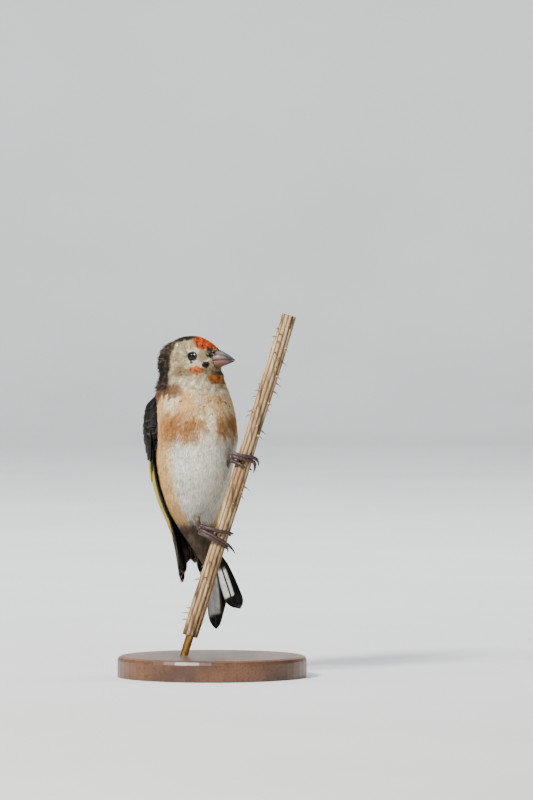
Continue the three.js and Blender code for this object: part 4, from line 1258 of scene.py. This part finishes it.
TAIL_ROOT = (8.2, 6.0, 43.45)
TAIL_STACKS = (
    ("right", -0.8, (9.6, 4.0, 14.2), (12.4, 4.0, 20.5)),
    ("left", 1.0, (17.2, 5.0, 22.2), (20.4, 5.0, 21.6)),
)
TAIL_WIDTH = 5.6
TAIL_STEP = 0.36
TAIL_GREY = (0.50, 0.49, 0.48)
TAIL_WHITE = (0.86, 0.85, 0.83)
TAIL_THICKNESS = 0.26
TAIL_GRID = (30, 10)


def tail_colour(stack_name, number, luck):
    """The colours of one tail feather. The two outer ones of each stack have a pale oval."""

    def colour_at(along, across):
        shade_at = np.tile(np.array(BLACK), (len(along), 1))
        lay = brush(shade_at)
        ragged = 0.02 * np.sin(along * 80 + luck * 9)
        if number <= 1:
            oval_end = ramp(along + ragged - 0.03 * across, 0.80, 0.85)
            window = ramp(along + ragged, 0.36, 0.42) * (1 - oval_end)
            if stack_name == "left":
                body = ramp(0.90 - across + ragged, 0.0, 0.08) * ramp(across, -0.62, -0.52)
                shaft_line = 1 - ramp(across, -0.24, -0.18) * (1 - ramp(across, 0.02, 0.08))
                lay(TAIL_WHITE, 0.95 * window * body * shaft_line)
            else:
                lay(TAIL_GREY, 0.95 * window * ramp(0.82 - np.abs(across) + ragged, 0.0, 0.08))
        lay(EDGE_PALE, 0.3 * ramp(np.abs(across), 0.92, 1.0) * ramp(along, 0.75, 0.9))
        lay(TIP_BUFF, 0.4 * ramp(along, 0.965, 0.99) * (number >= 2))
        return shade_at

    return colour_at


train = bmesh.new()
layers = feather_layers(train)
for stack_name, root_shift, outer_tip, inner_tip in TAIL_STACKS:
    for number in range(6):
        inward = number / 5
        tip = toward(np.array(outer_tip), np.array(inner_tip), inward)
        root = np.array(TAIL_ROOT) + np.array((root_shift * (1 + 0.5 * inward), 0, 3.0))
        level = (number - 2.5) * TAIL_STEP
        run_down = tip - root
        run_down[1] = 0
        run_down /= np.linalg.norm(run_down)
        sideways = np.array((run_down[2], 0, -run_down[0]))
        luck = chance.random()

        def tail_place(along, across):
            p = toward(root, tip, along[:, None])
            edge = 0.5 * np.abs(across) ** 2 * ramp(along, 0.8, 1.0)
            wide = TAIL_WIDTH / 2 * vane_width(along, 0.2) * (0.72 + 0.28 * ramp(along, 0.1, 0.6))
            p = p + sideways * (across * wide)[:, None]
            camber = 0.22 * (1 - across**2)
            shaft_rise = -0.12 * np.exp(-((across / 0.07) ** 2)) * (1 - 0.6 * along)
            p[:, 1] += level + camber + shaft_rise
            p[:, 2] += edge
            return from_bird(p)

        shade_at = tail_colour(stack_name, number, luck)
        vane(train, layers, tail_place, shade_at, np.linalg.norm(tip - root), TAIL_GRID)
tail = object_from(train, "tail_feathers")
thickened(tail, TAIL_THICKNESS, 0.0)
dressed(tail, quill_finish, "flight_feathers", "tail")

# The tail coverts
# Longer soft feathers reach from the rump and the vent over the roots of the tail and hide where it starts:
# pale above, and below a brownish grey that is partly painted shade under the body.

TAIL_COVERTS = 420
COVERTS_POINT_TO = (9.0, 6.0, 27.0)
UNDER_GREY_SHADED = (0.29, 0.245, 0.205)

covert_roots = []
covert_outs = []
for _ in range(TAIL_COVERTS):
    turn = chance.uniform(0, 2 * math.pi)
    height = chance.uniform(38.5, 53.5)
    ring = body_ring(height, np.array([turn]))[0]
    shift, middle = body_middle(height)
    covert_roots.append(ring)
    covert_outs.append((ring[0] - shift, ring[1] - middle, -0.6))
covert_roots = np.array(covert_roots)
covert_ways = unit(np.array(COVERTS_POINT_TO) - covert_roots)
covert_outs = squared(unit(np.array(covert_outs, float)), covert_ways)


def tail_covert_colour(points, luck):
    """Pale on the rump's side, and below a grey that is partly painted shade, of a slightly different depth
    for each feather.
    """
    back = ramp(to_bird(points)[:, 1], 11.0, 13.0)[:, None]
    under = np.array(UNDER_GREY_SHADED) * (1 + 0.25 * (luck[:, None] - 0.5))
    return toward(under, np.array(RUMP), back)


made = fans(
    from_bird(covert_roots), body_way(covert_outs), body_way(covert_ways),
    6.0 + 2.2 * chance.random(TAIL_COVERTS), np.full(TAIL_COVERTS, 2.7), np.full(TAIL_COVERTS, 0.7),
    11, chance, tail_covert_colour, 0.06,
)
feathered("tail_coverts", *made)

# The stem
# The perch is a cut length of a dry thistly stalk: straw-brown, ribbed, with dark weathered lines along it,
# painted shade in the grooves between its ribs and in its bore, and thin bent prickles with dark tips. A
# hole at its foot takes the rod of the stand.

STEM_LEAN = math.radians(17.2)
STEM_FOOT = np.array((-9.4, -6.0, 12.4))
STEM_RADIUS = 2.85
STEM_FROM = 3.6
STEM_TO = 131.0
STEM_RIBS = 10
BORE_RADIUS = 1.8
BORE_DEPTH = 8.6
STEM_SIDES = 100
STEM_RINGS = 150
STEM_CUT = ((0.25, 0.86), (0.5, 0.62), (0.9, 0.45), (1.4, 0.25))  # depth and width of its hollow end
STEM_UP = np.array((math.sin(STEM_LEAN), 0, math.cos(STEM_LEAN)))
STEM_LEFT = np.array((-math.cos(STEM_LEAN), 0, math.sin(STEM_LEAN)))
STEM_FRONT = np.array((0.0, -1.0, 0.0))


def stem_point(distance, turn, radius):
    """A point by its distance along the stem, its turn in degrees and its radius, in metres."""
    turn = np.radians(turn)
    distance, turn, radius = np.broadcast_arrays(distance, turn, radius)
    return (
        STEM_FOOT + distance[..., None] * STEM_UP + (radius * np.cos(turn))[..., None] * STEM_LEFT
        + (radius * np.sin(turn))[..., None] * STEM_FRONT
    ) * MM


stalk = bmesh.new()
turns = np.linspace(0, 360, STEM_SIDES, endpoint=False)
# The bore, from its bottom to its rim, and then the outside
rings = [
    stem_point(STEM_FROM + depth_in, turns, BORE_RADIUS + flare)
    for depth_in, flare in ((BORE_DEPTH, 0), (0.15, 0), (0, 0.15))
]
# The rib values kept here also give painted shade: dark in the bore and in the grooves between the ribs.
painted_groove_shade = [np.full(STEM_SIDES, 0.1)] * 3
for distance in np.linspace(STEM_FROM, STEM_TO, STEM_RINGS):
    share = (distance - STEM_FROM) / (STEM_TO - STEM_FROM)
    twist = turns + 5 * math.sin(distance * 0.05) + 2 * math.sin(distance * 0.21)
    rib = np.abs(np.cos(np.radians(twist * STEM_RIBS / 2))) ** 1.5
    fibre = 0.035 * np.sin(np.radians(twist * 37) + 2 * math.sin(distance * 0.13))
    fibre += 0.03 * np.sin(np.radians(twist * 23) + 3 * math.sin(distance * 0.07 + 1))
    swell = 0.10 * math.sin(share * 17) - 0.1 * share
    radius = STEM_RADIUS - 0.20 + 0.32 * rib + fibre + swell
    rings.append(stem_point(distance, turns, radius))
    painted_groove_shade.append(rib)
for depth_in, narrow in STEM_CUT:
    rings.append(stem_point(STEM_TO - depth_in, turns, (STEM_RADIUS + 0.05) * narrow))
    painted_groove_shade.append(np.full(STEM_SIDES, 0.9))
loft(stalk, rings)
stem = object_from(stalk, "thistle_stalk")
paint(stem.data, np.repeat(np.concatenate(painted_groove_shade)[:, None], 3, axis=1), "rib")
stem_finish, tree, shader = material("dry_stalk", 0.78, Specular_IOR_Level=0.3)
lean_turn = (0, -STEM_LEAN, 0)
streaks = noise(tree, 1500, 5, (1, 1, 0.03), lean_turn)
wide_streaks = noise(tree, 420, 3, (1, 1, 0.06), lean_turn)
patches = noise(tree, 70, 4, (1, 1, 0.5), lean_turn)
fine = noise(tree, 3600, 3, (1, 1, 0.05), lean_turn)
straw = blended(tree, "MIX", ranged(tree, patches, 0.38, 0.62), (0.62, 0.49, 0.34), (0.76, 0.66, 0.50))
for pattern, low, high, most, tone in (
    (streaks, 0.50, 0.68, 0.75, (0.42, 0.28, 0.17)),
    (wide_streaks, 0.56, 0.64, 0.8, (0.21, 0.14, 0.105)),
    (wide_streaks, 0.42, 0.34, 0.55, (0.86, 0.78, 0.64)),
    # Painted shade in the grooves between the ribs and in the bore
    (marked(tree, "rib", "Fac"), 0.36, 0.02, 0.75, (0.25, 0.17, 0.115)),
    (fine, 0.58, 0.66, 0.5, (0.25, 0.17, 0.12)),
):
    straw = blended(tree, "MIX", ranged(tree, pattern, low, high, 0, most), straw, tone)
tree.links.new(straw, shader.inputs["Base Color"])
bumped(tree, shader, streaks, 0.7, 0.00025)
dressed(stem, stem_finish, "dry_stem", "perch_stem")

# The prickles
# The stalk's ribs bear thin bent thorns of the same dry straw, thick at the foot and dark at the point.
# None stands under a foot or against the breast.

PRICKLES = 66
PRICKLE_LENGTH = 2.6
PRICKLE_RINGS = 9
PRICKLE_SIDES = 8
PRICKLE_SEED = 5
PRICKLE_FOOT = (0.74, 0.58, 0.40)
PRICKLE_POINT = (0.20, 0.12, 0.09)
FEET_ON_STEM = ((35, 49), (66, 80))


def limb(bm, places, radii, sides):
    """A closed tube of rings along a curve of places, in metres."""
    places = np.asarray(places)
    ways = unit(np.gradient(places, axis=0))
    side = np.cross(ways[0], (0.3, 0.5, 0.8))
    side /= np.linalg.norm(side)
    angles = np.linspace(0, 2 * math.pi, sides, endpoint=False)
    rings = []
    for place, way, radius in zip(places, ways, radii):
        side = side - way * np.dot(side, way)
        side /= np.linalg.norm(side)
        other = np.cross(way, side)
        rings.append(place + radius * (np.cos(angles)[:, None] * side + np.sin(angles)[:, None] * other))
    loft(bm, rings)


def arc(points, count):
    """Places evenly spaced along a smooth curve through a few points."""
    points = np.asarray(points, float)
    padded = np.vstack([2 * points[0] - points[1], points, 2 * points[-1] - points[-2]])
    fine_places = []
    for i in range(1, len(padded) - 2):
        a, b, c, d = padded[i - 1 : i + 3]
        for t in np.linspace(0, 1, 24, endpoint=False):
            bend = (2 * a - 5 * b + 4 * c - d) * t * t + (3 * b - a - 3 * c + d) * t**3
            fine_places.append(0.5 * (2 * b + (c - a) * t + bend))
    fine_places.append(points[-1])
    fine_places = np.array(fine_places)
    run = np.concatenate([[0], np.cumsum(np.linalg.norm(np.diff(fine_places, axis=0), axis=1))])
    at = np.linspace(0, run[-1], count)
    return np.stack([np.interp(at, run, fine_places[:, k]) for k in range(3)], -1)


thorns = bmesh.new()
thorn_shades = []
thorn_chance = np.random.default_rng(PRICKLE_SEED)
for i in range(PRICKLES):
    distance = STEM_FROM + 4 + (STEM_TO - STEM_FROM - 7) * (i + thorn_chance.random() * 0.8) / PRICKLES
    turn = thorn_chance.integers(0, STEM_RIBS) * 360 / STEM_RIBS
    long = PRICKLE_LENGTH * (0.5 + 0.65 * thorn_chance.random())
    under_foot = any(low - 2 < distance < high + 2 for low, high in FEET_ON_STEM)
    behind = math.sin(math.radians(turn)) < 0.3 and math.cos(math.radians(turn)) > -0.4
    if under_foot or (28 < distance < 90 and behind):
        continue
    lift_end = -0.9 + 1.2 * thorn_chance.random()
    knots = ((0.5, -0.5), (0.35, long * 0.35), (-0.1, long * 0.7), (lift_end, long))
    path = arc([stem_point(distance + up, turn, STEM_RADIUS + out) for up, out in knots], PRICKLE_RINGS)
    shares = np.linspace(0, 1, PRICKLE_RINGS)
    limb(thorns, path, (0.55 * (1 - shares) ** 1.9 + 0.06) * MM, PRICKLE_SIDES)
    for share in ramp(shares, 0.2, 0.7):
        shade_at = toward(np.array(PRICKLE_FOOT), np.array(PRICKLE_POINT), share)
        thorn_shades.extend([shade_at] * PRICKLE_SIDES)
thorn_piece = object_from(thorns, "stalk_prickles")
paint(thorn_piece.data, np.array(thorn_shades))
thorn_finish, tree, shader = material("prickle", 0.6)
tinted(tree, shader, ranged(tree, noise(tree, 3000, 3), 0.3, 0.7, 0.85, 1.1))
dressed(thorn_piece, thorn_finish, "dry_stem")

# The legs and feet
# Thin bare legs in plated skin run to a knuckle beside the stem, where three toes part to the front and
# one to the back, with knobbly pads beneath. The claws are long curved cones of black horn.

# Where each foot's toes part: distance along the stem, turn and distance from its axis. Each toe
# leaves there by start and crosses by end, both along the stem; its claw's tip is at that turn, dropped
# along the stem and reaching away from it.
FEET = {
    "right": ((43.8, 8, 8.4), (-1.5, -4.0, 58), {
        "inner": (0.9, 2.0, 208, 0.6, 0.2),
        "middle": (-0.4, -3.2, 172, 2.2, 3.4),
        "outer": (-1.4, -5.0, 200, 0.8, 0.3),
        "hind": (0.3, 0.6, -164, 0, 0),
    }),
    "left": ((73.0, 30, 5.8), (9.3, -6.3, 74), {
        "inner": (0.6, 1.2, 196, 4.6, 0.9),
        "middle": (1.6, 2.9, 186, 3.2, 1.9),
        "outer": (-1.0, -1.8, 112, 0.8, 0.1),
        "hind": (-0.6, -2.6, -172, 0, 0),
    }),
}
TOE_CLEAR = 4.05
TOE_RADIUS = 0.72
TOE_SHARE = 0.75
TOE_RINGS = 64
TOE_SIDES = 16
SHANK_RADIUS = 0.82
SHANK_RINGS = 60
SHANK_SIDES = 20
KNUCKLE_RADIUS = 1.22
CLAW_RADIUS = 0.50
CLAW_RINGS = 28
CLAW_SIDES = 14
CLAW_FROM = 0.74
LEG_BROWN = (0.16, 0.082, 0.068)
LEG_PALE = (0.35, 0.215, 0.18)
CLAW_COLOURS = ((0.085, 0.075, 0.075), (0.17, 0.14, 0.13))


def toe_path(joint, toe, low, high, count):
    """Places along a toe and its claw, between two shares of the whole way from joint to tip."""
    start, end, claw, drop, reach = toe
    share = np.array((0, 0.12, 0.28, 0.46, 0.64, 0.76, 0.88, 1.0))
    closing = np.clip(share / 0.42, 0, 1)
    hook = np.clip((share - 0.64) / 0.36, 0, 1)
    knots = stem_point(
        joint[0] + start + (end - start) * share - drop * hook**2,
        joint[1] + (claw - joint[1]) * share,
        joint[2] + (TOE_CLEAR - joint[2]) * np.sin(closing * math.pi / 2) + reach * hook,
    )
    whole = arc(knots, 201)
    places = np.linspace(low, high, count) * 200
    return np.stack([np.interp(places, np.arange(201), whole[:, k]) for k in range(3)], -1)


def plated(plates, sides, darkness, most):
    """The colours of scaled skin round a limb: dark between its plates and paler on them."""
    shares = np.repeat(plates, sides)[:, None] * most
    return toward(np.array(LEG_BROWN) * darkness, np.array(LEG_PALE), shares)


leg_finish, tree, shader = material("leg_skin", 0.5, Coat_Weight=0.08)
tinted(tree, shader, ranged(tree, noise(tree, 1600, 5), 0.3, 0.7, 0.82, 1.12))
bumped(tree, shader, noise(tree, 2600, 4), 0.4, 0.00012)
claw_finish, tree, shader = material("claw_horn", 0.28, Coat_Weight=0.3, Coat_Roughness=0.2)
mottled(tree, shader, 900, 4, CLAW_COLOURS)
bumped(tree, shader, noise(tree, 2000, 3), 0.15, 0.0001)
for side_name, (joint, heel, toes) in FEET.items():
    joint_place = stem_point(*joint)
    heel_place = from_bird(np.array(heel, float))
    shank = bmesh.new()
    shares = np.linspace(0, 1, SHANK_RINGS)
    places = toward(heel_place, joint_place, shares[:, None])
    plate = np.abs(np.sin(shares * math.pi * 9)) ** 0.5
    flare = 1.22 - 0.25 * shares + 0.25 * ramp(shares, 0.9, 1.0)
    limb(shank, places, SHANK_RADIUS * flare * (0.93 + 0.09 * plate) * MM, SHANK_SIDES)
    leg = object_from(shank, "tarsus_" + side_name)
    paint(leg.data, plated(plate, SHANK_SIDES, 0.7, 0.6))
    dressed(leg, leg_finish, "leg_skin", "leg_" + side_name)

    toe_mesh = bmesh.new()
    made = bmesh.ops.create_uvsphere(toe_mesh, u_segments=20, v_segments=14, radius=KNUCKLE_RADIUS * MM)
    for vert in made["verts"]:
        vert.co += Vector(joint_place)
    toe_shades = [np.tile(LEG_BROWN, (len(made["verts"]), 1))]
    shares = np.linspace(0, 1, TOE_RINGS)
    for toe in toes.values():
        places = toe_path(joint, toe, 0, TOE_SHARE, TOE_RINGS)
        scute = np.abs(np.sin(shares * math.pi * 10)) ** 0.6
        pad = 0.10 * np.abs(np.sin(shares * math.pi * 3.5)) ** 0.8
        radii = TOE_RADIUS * (1.12 - 0.30 * shares + pad) * (0.95 + 0.07 * scute)
        radii[-4:] *= (1.0, 0.93, 0.8, 0.55)
        limb(toe_mesh, places, radii * MM, TOE_SIDES)
        toe_shades.append(plated(scute, TOE_SIDES, 0.6, 0.55))
    foot = object_from(toe_mesh, "toes_" + side_name)
    paint(foot.data, np.concatenate(toe_shades))
    dressed(foot, leg_finish, "leg_skin", "foot_" + side_name)

    claw_mesh = bmesh.new()
    radii = CLAW_RADIUS * (1 - np.linspace(0, 1, CLAW_RINGS)) ** 0.8 + 0.05
    for toe in toes.values():
        limb(claw_mesh, toe_path(joint, toe, CLAW_FROM, 1.0, CLAW_RINGS), radii * MM, CLAW_SIDES)
    claws = object_from(claw_mesh, "claws_" + side_name)
    dressed(claws, claw_finish, "claw", *[f"claw_{side_name}_{name}" for name in toes])

# The leg feathers
# Fluffy feathers of the thigh cover the top of each leg where it leaves the belly. Their brownish grey is
# partly their own colour and partly painted shade, to match the shaded belly there. They are rooted round
# the leg like a sleeve and point down it.

THIGH_FEATHERS = 240  # on each leg
THIGH_BROWN_SHADED = (0.43, 0.385, 0.32)


def thigh_colour(points, luck):
    """One brownish grey, partly painted shade, a little lighter or darker for each feather."""
    return np.tile(np.array(THIGH_BROWN_SHADED), (len(points), 1)) * (0.85 + 0.3 * luck[:, None])


for side_name, (joint, heel, _) in FEET.items():
    heel_place = from_bird(np.array(heel, float))
    run = stem_point(*joint) - heel_place
    run_way = unit(run)
    sits = chance.uniform(-0.45, 0.62, THIGH_FEATHERS)
    angles = chance.uniform(0, 2 * math.pi, THIGH_FEATHERS)
    side = np.cross(run_way, (0.2, 1.0, 0.1))
    side /= np.linalg.norm(side)
    other = np.cross(run_way, side)
    outs = np.cos(angles)[:, None] * side + np.sin(angles)[:, None] * other
    sleeve = (1.5 - 1.1 * np.clip(sits, 0, 0.7)) * MM
    roots = heel_place + run * sits[:, None] + outs * sleeve[:, None]
    made = fans(
        roots, outs, np.tile(run_way, (THIGH_FEATHERS, 1)), chance.uniform(2.6, 4.0, THIGH_FEATHERS),
        np.full(THIGH_FEATHERS, 1.2), np.full(THIGH_FEATHERS, 0.5), 7, chance, thigh_colour,
    )
    feathered("thigh_" + side_name, *made)

# The stand
# A plain turned disc of dark wood with a rounded edge, and a short brass rod that holds up the stem.
# Both keep the shapes of the frame's own nodes and get their finish here.

BRASS_COLOURS = ((0.77, 0.61, 0.33), (0.62, 0.47, 0.25))

wood_finish, tree, shader = material("turned_wood", 0.42, Coat_Weight=0.2, Coat_Roughness=0.3)
rings_of = noise(tree, 90, 5, (1, 0.12, 1))
fine_grain = noise(tree, 1400, 4, (1, 0.04, 1))
wood = blended(tree, "MIX", ranged(tree, rings_of, 0.38, 0.62), (0.27, 0.165, 0.105), (0.40, 0.26, 0.165))
wood = blended(tree, "MIX", ranged(tree, fine_grain, 0.52, 0.66, 0, 0.6), wood, (0.17, 0.10, 0.065))
tree.links.new(wood, shader.inputs["Base Color"])
bumped(tree, shader, fine_grain, 0.15, 0.0001)
brass_finish, tree, shader = material("brass", 0.3, Metallic=1.0)
mottled(tree, shader, 260, 5, BRASS_COLOURS, 0.35, 0.65)
tree.links.new(ranged(tree, noise(tree, 400, 4), 0.3, 0.7, 0.24, 0.42), shader.inputs["Roughness"])
for name, finish in (("stand_base", wood_finish), ("stand_rod", brass_finish)):
    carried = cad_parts[name].data
    carried.materials.clear()
    carried.materials.append(finish)

# The studio
# A pale sweep of paper runs under the model and up behind it. The key light is soft and comes from the
# upper left, as in the photo, with a weak fill from the right. The camera is far off, with a long lens.

SWEEP_FRONT = -3.4
SWEEP_BACK = 2.7
SWEEP_HALF = 3.6
SWEEP_RADIUS = 0.6
SWEEP_TOP = 3.2
PAPER_COLOURS = ((0.80, 0.805, 0.80), (0.83, 0.835, 0.83))
paper = bmesh.new()
profile = [(SWEEP_FRONT, 0.0)]
for angle in np.linspace(0, math.pi / 2, 17):
    profile.append((SWEEP_BACK + SWEEP_RADIUS * math.sin(angle), SWEEP_RADIUS * (1 - math.cos(angle))))
profile.append((SWEEP_BACK + SWEEP_RADIUS, SWEEP_TOP))
made = bmesh.ops.create_grid(paper, x_segments=1, y_segments=len(profile) - 1, size=1.0)
for vert in made["verts"]:
    step = round((vert.co.y + 1) / 2 * (len(profile) - 1))
    y, z = profile[step]
    vert.co = Vector((vert.co.x * SWEEP_HALF, y, z))
floor = object_from(paper, "studio_floor", turn_out=False)
floor_finish, tree, shader = material("paper", 0.9)
mottled(tree, shader, 6, 4, PAPER_COLOURS)
floor.data.materials.append(floor_finish)

world = bpy.data.worlds.new("studio")
bpy.context.scene.world = world
world.use_nodes = True
sky = world.node_tree.nodes["Background"].inputs
sky["Color"].default_value = (0.86, 0.90, 0.95, 1)
sky["Strength"].default_value = 0.19
WARM = (1.0, 0.97, 0.93)
COOL = (0.93, 0.96, 1.0)
BIRD_MIDDLE = (0.0107, 0.0, 0.1052)


def studio_object(name, kind, place, target):
    """A lamp or a camera at a place, turned towards its target."""
    made = bpy.data.objects.new(name, kind)
    made.location = place
    made.rotation_euler = (Vector(target) - Vector(place)).to_track_quat("-Z", "Y").to_euler()
    bpy.context.scene.collection.objects.link(made)
    return made


for name, place, target, size, power, colour in (
    ("key", (-0.75, -1.0, 1.05), BIRD_MIDDLE, 0.30, 58.0, WARM),
    ("fill", (1.1, -0.9, 0.5), BIRD_MIDDLE, 1.2, 1.6, COOL),
    ("glint", (0.65, -0.45, 0.80), BIRD_MIDDLE, 0.45, 110.0, COOL),
    ("backdrop", (0.0, 0.6, 1.9), (0.0, 2.6, 0.35), 1.4, 110.0, COOL),
):
    lamp = bpy.data.lights.new(name, "AREA")
    lamp.size = size
    lamp.energy = power
    lamp.color = colour
    lamp_object = studio_object(name, lamp, place, target)
    if name == "glint":
        # The sun's small bright reflection in the eyes, and on nothing else
        lit = bpy.data.collections.new("eyes that catch the light")
        for side_name in ("right", "left"):
            lit.objects.link(bpy.data.objects["eyeball_" + side_name])
        lamp_object.light_linking.receiver_collection = lit

VIEW_DISTANCE = 2.6
VIEW_RISE = math.radians(1.5)
VIEW_TALL = 0.304  # what the picture's height takes in, at the bird
LOOK_AT = Vector((0.0207, 0.0, 0.1052))
FILM = 36
lens = bpy.data.cameras.new("camera")
lens.sensor_fit = "AUTO"
lens.sensor_width = FILM
lens.lens = FILM * VIEW_DISTANCE / VIEW_TALL
lens.clip_end = 20
stands_at = LOOK_AT + Vector((0, -math.cos(VIEW_RISE), math.sin(VIEW_RISE))) * VIEW_DISTANCE
bpy.context.scene.camera = studio_object("camera", lens, stands_at, LOOK_AT)
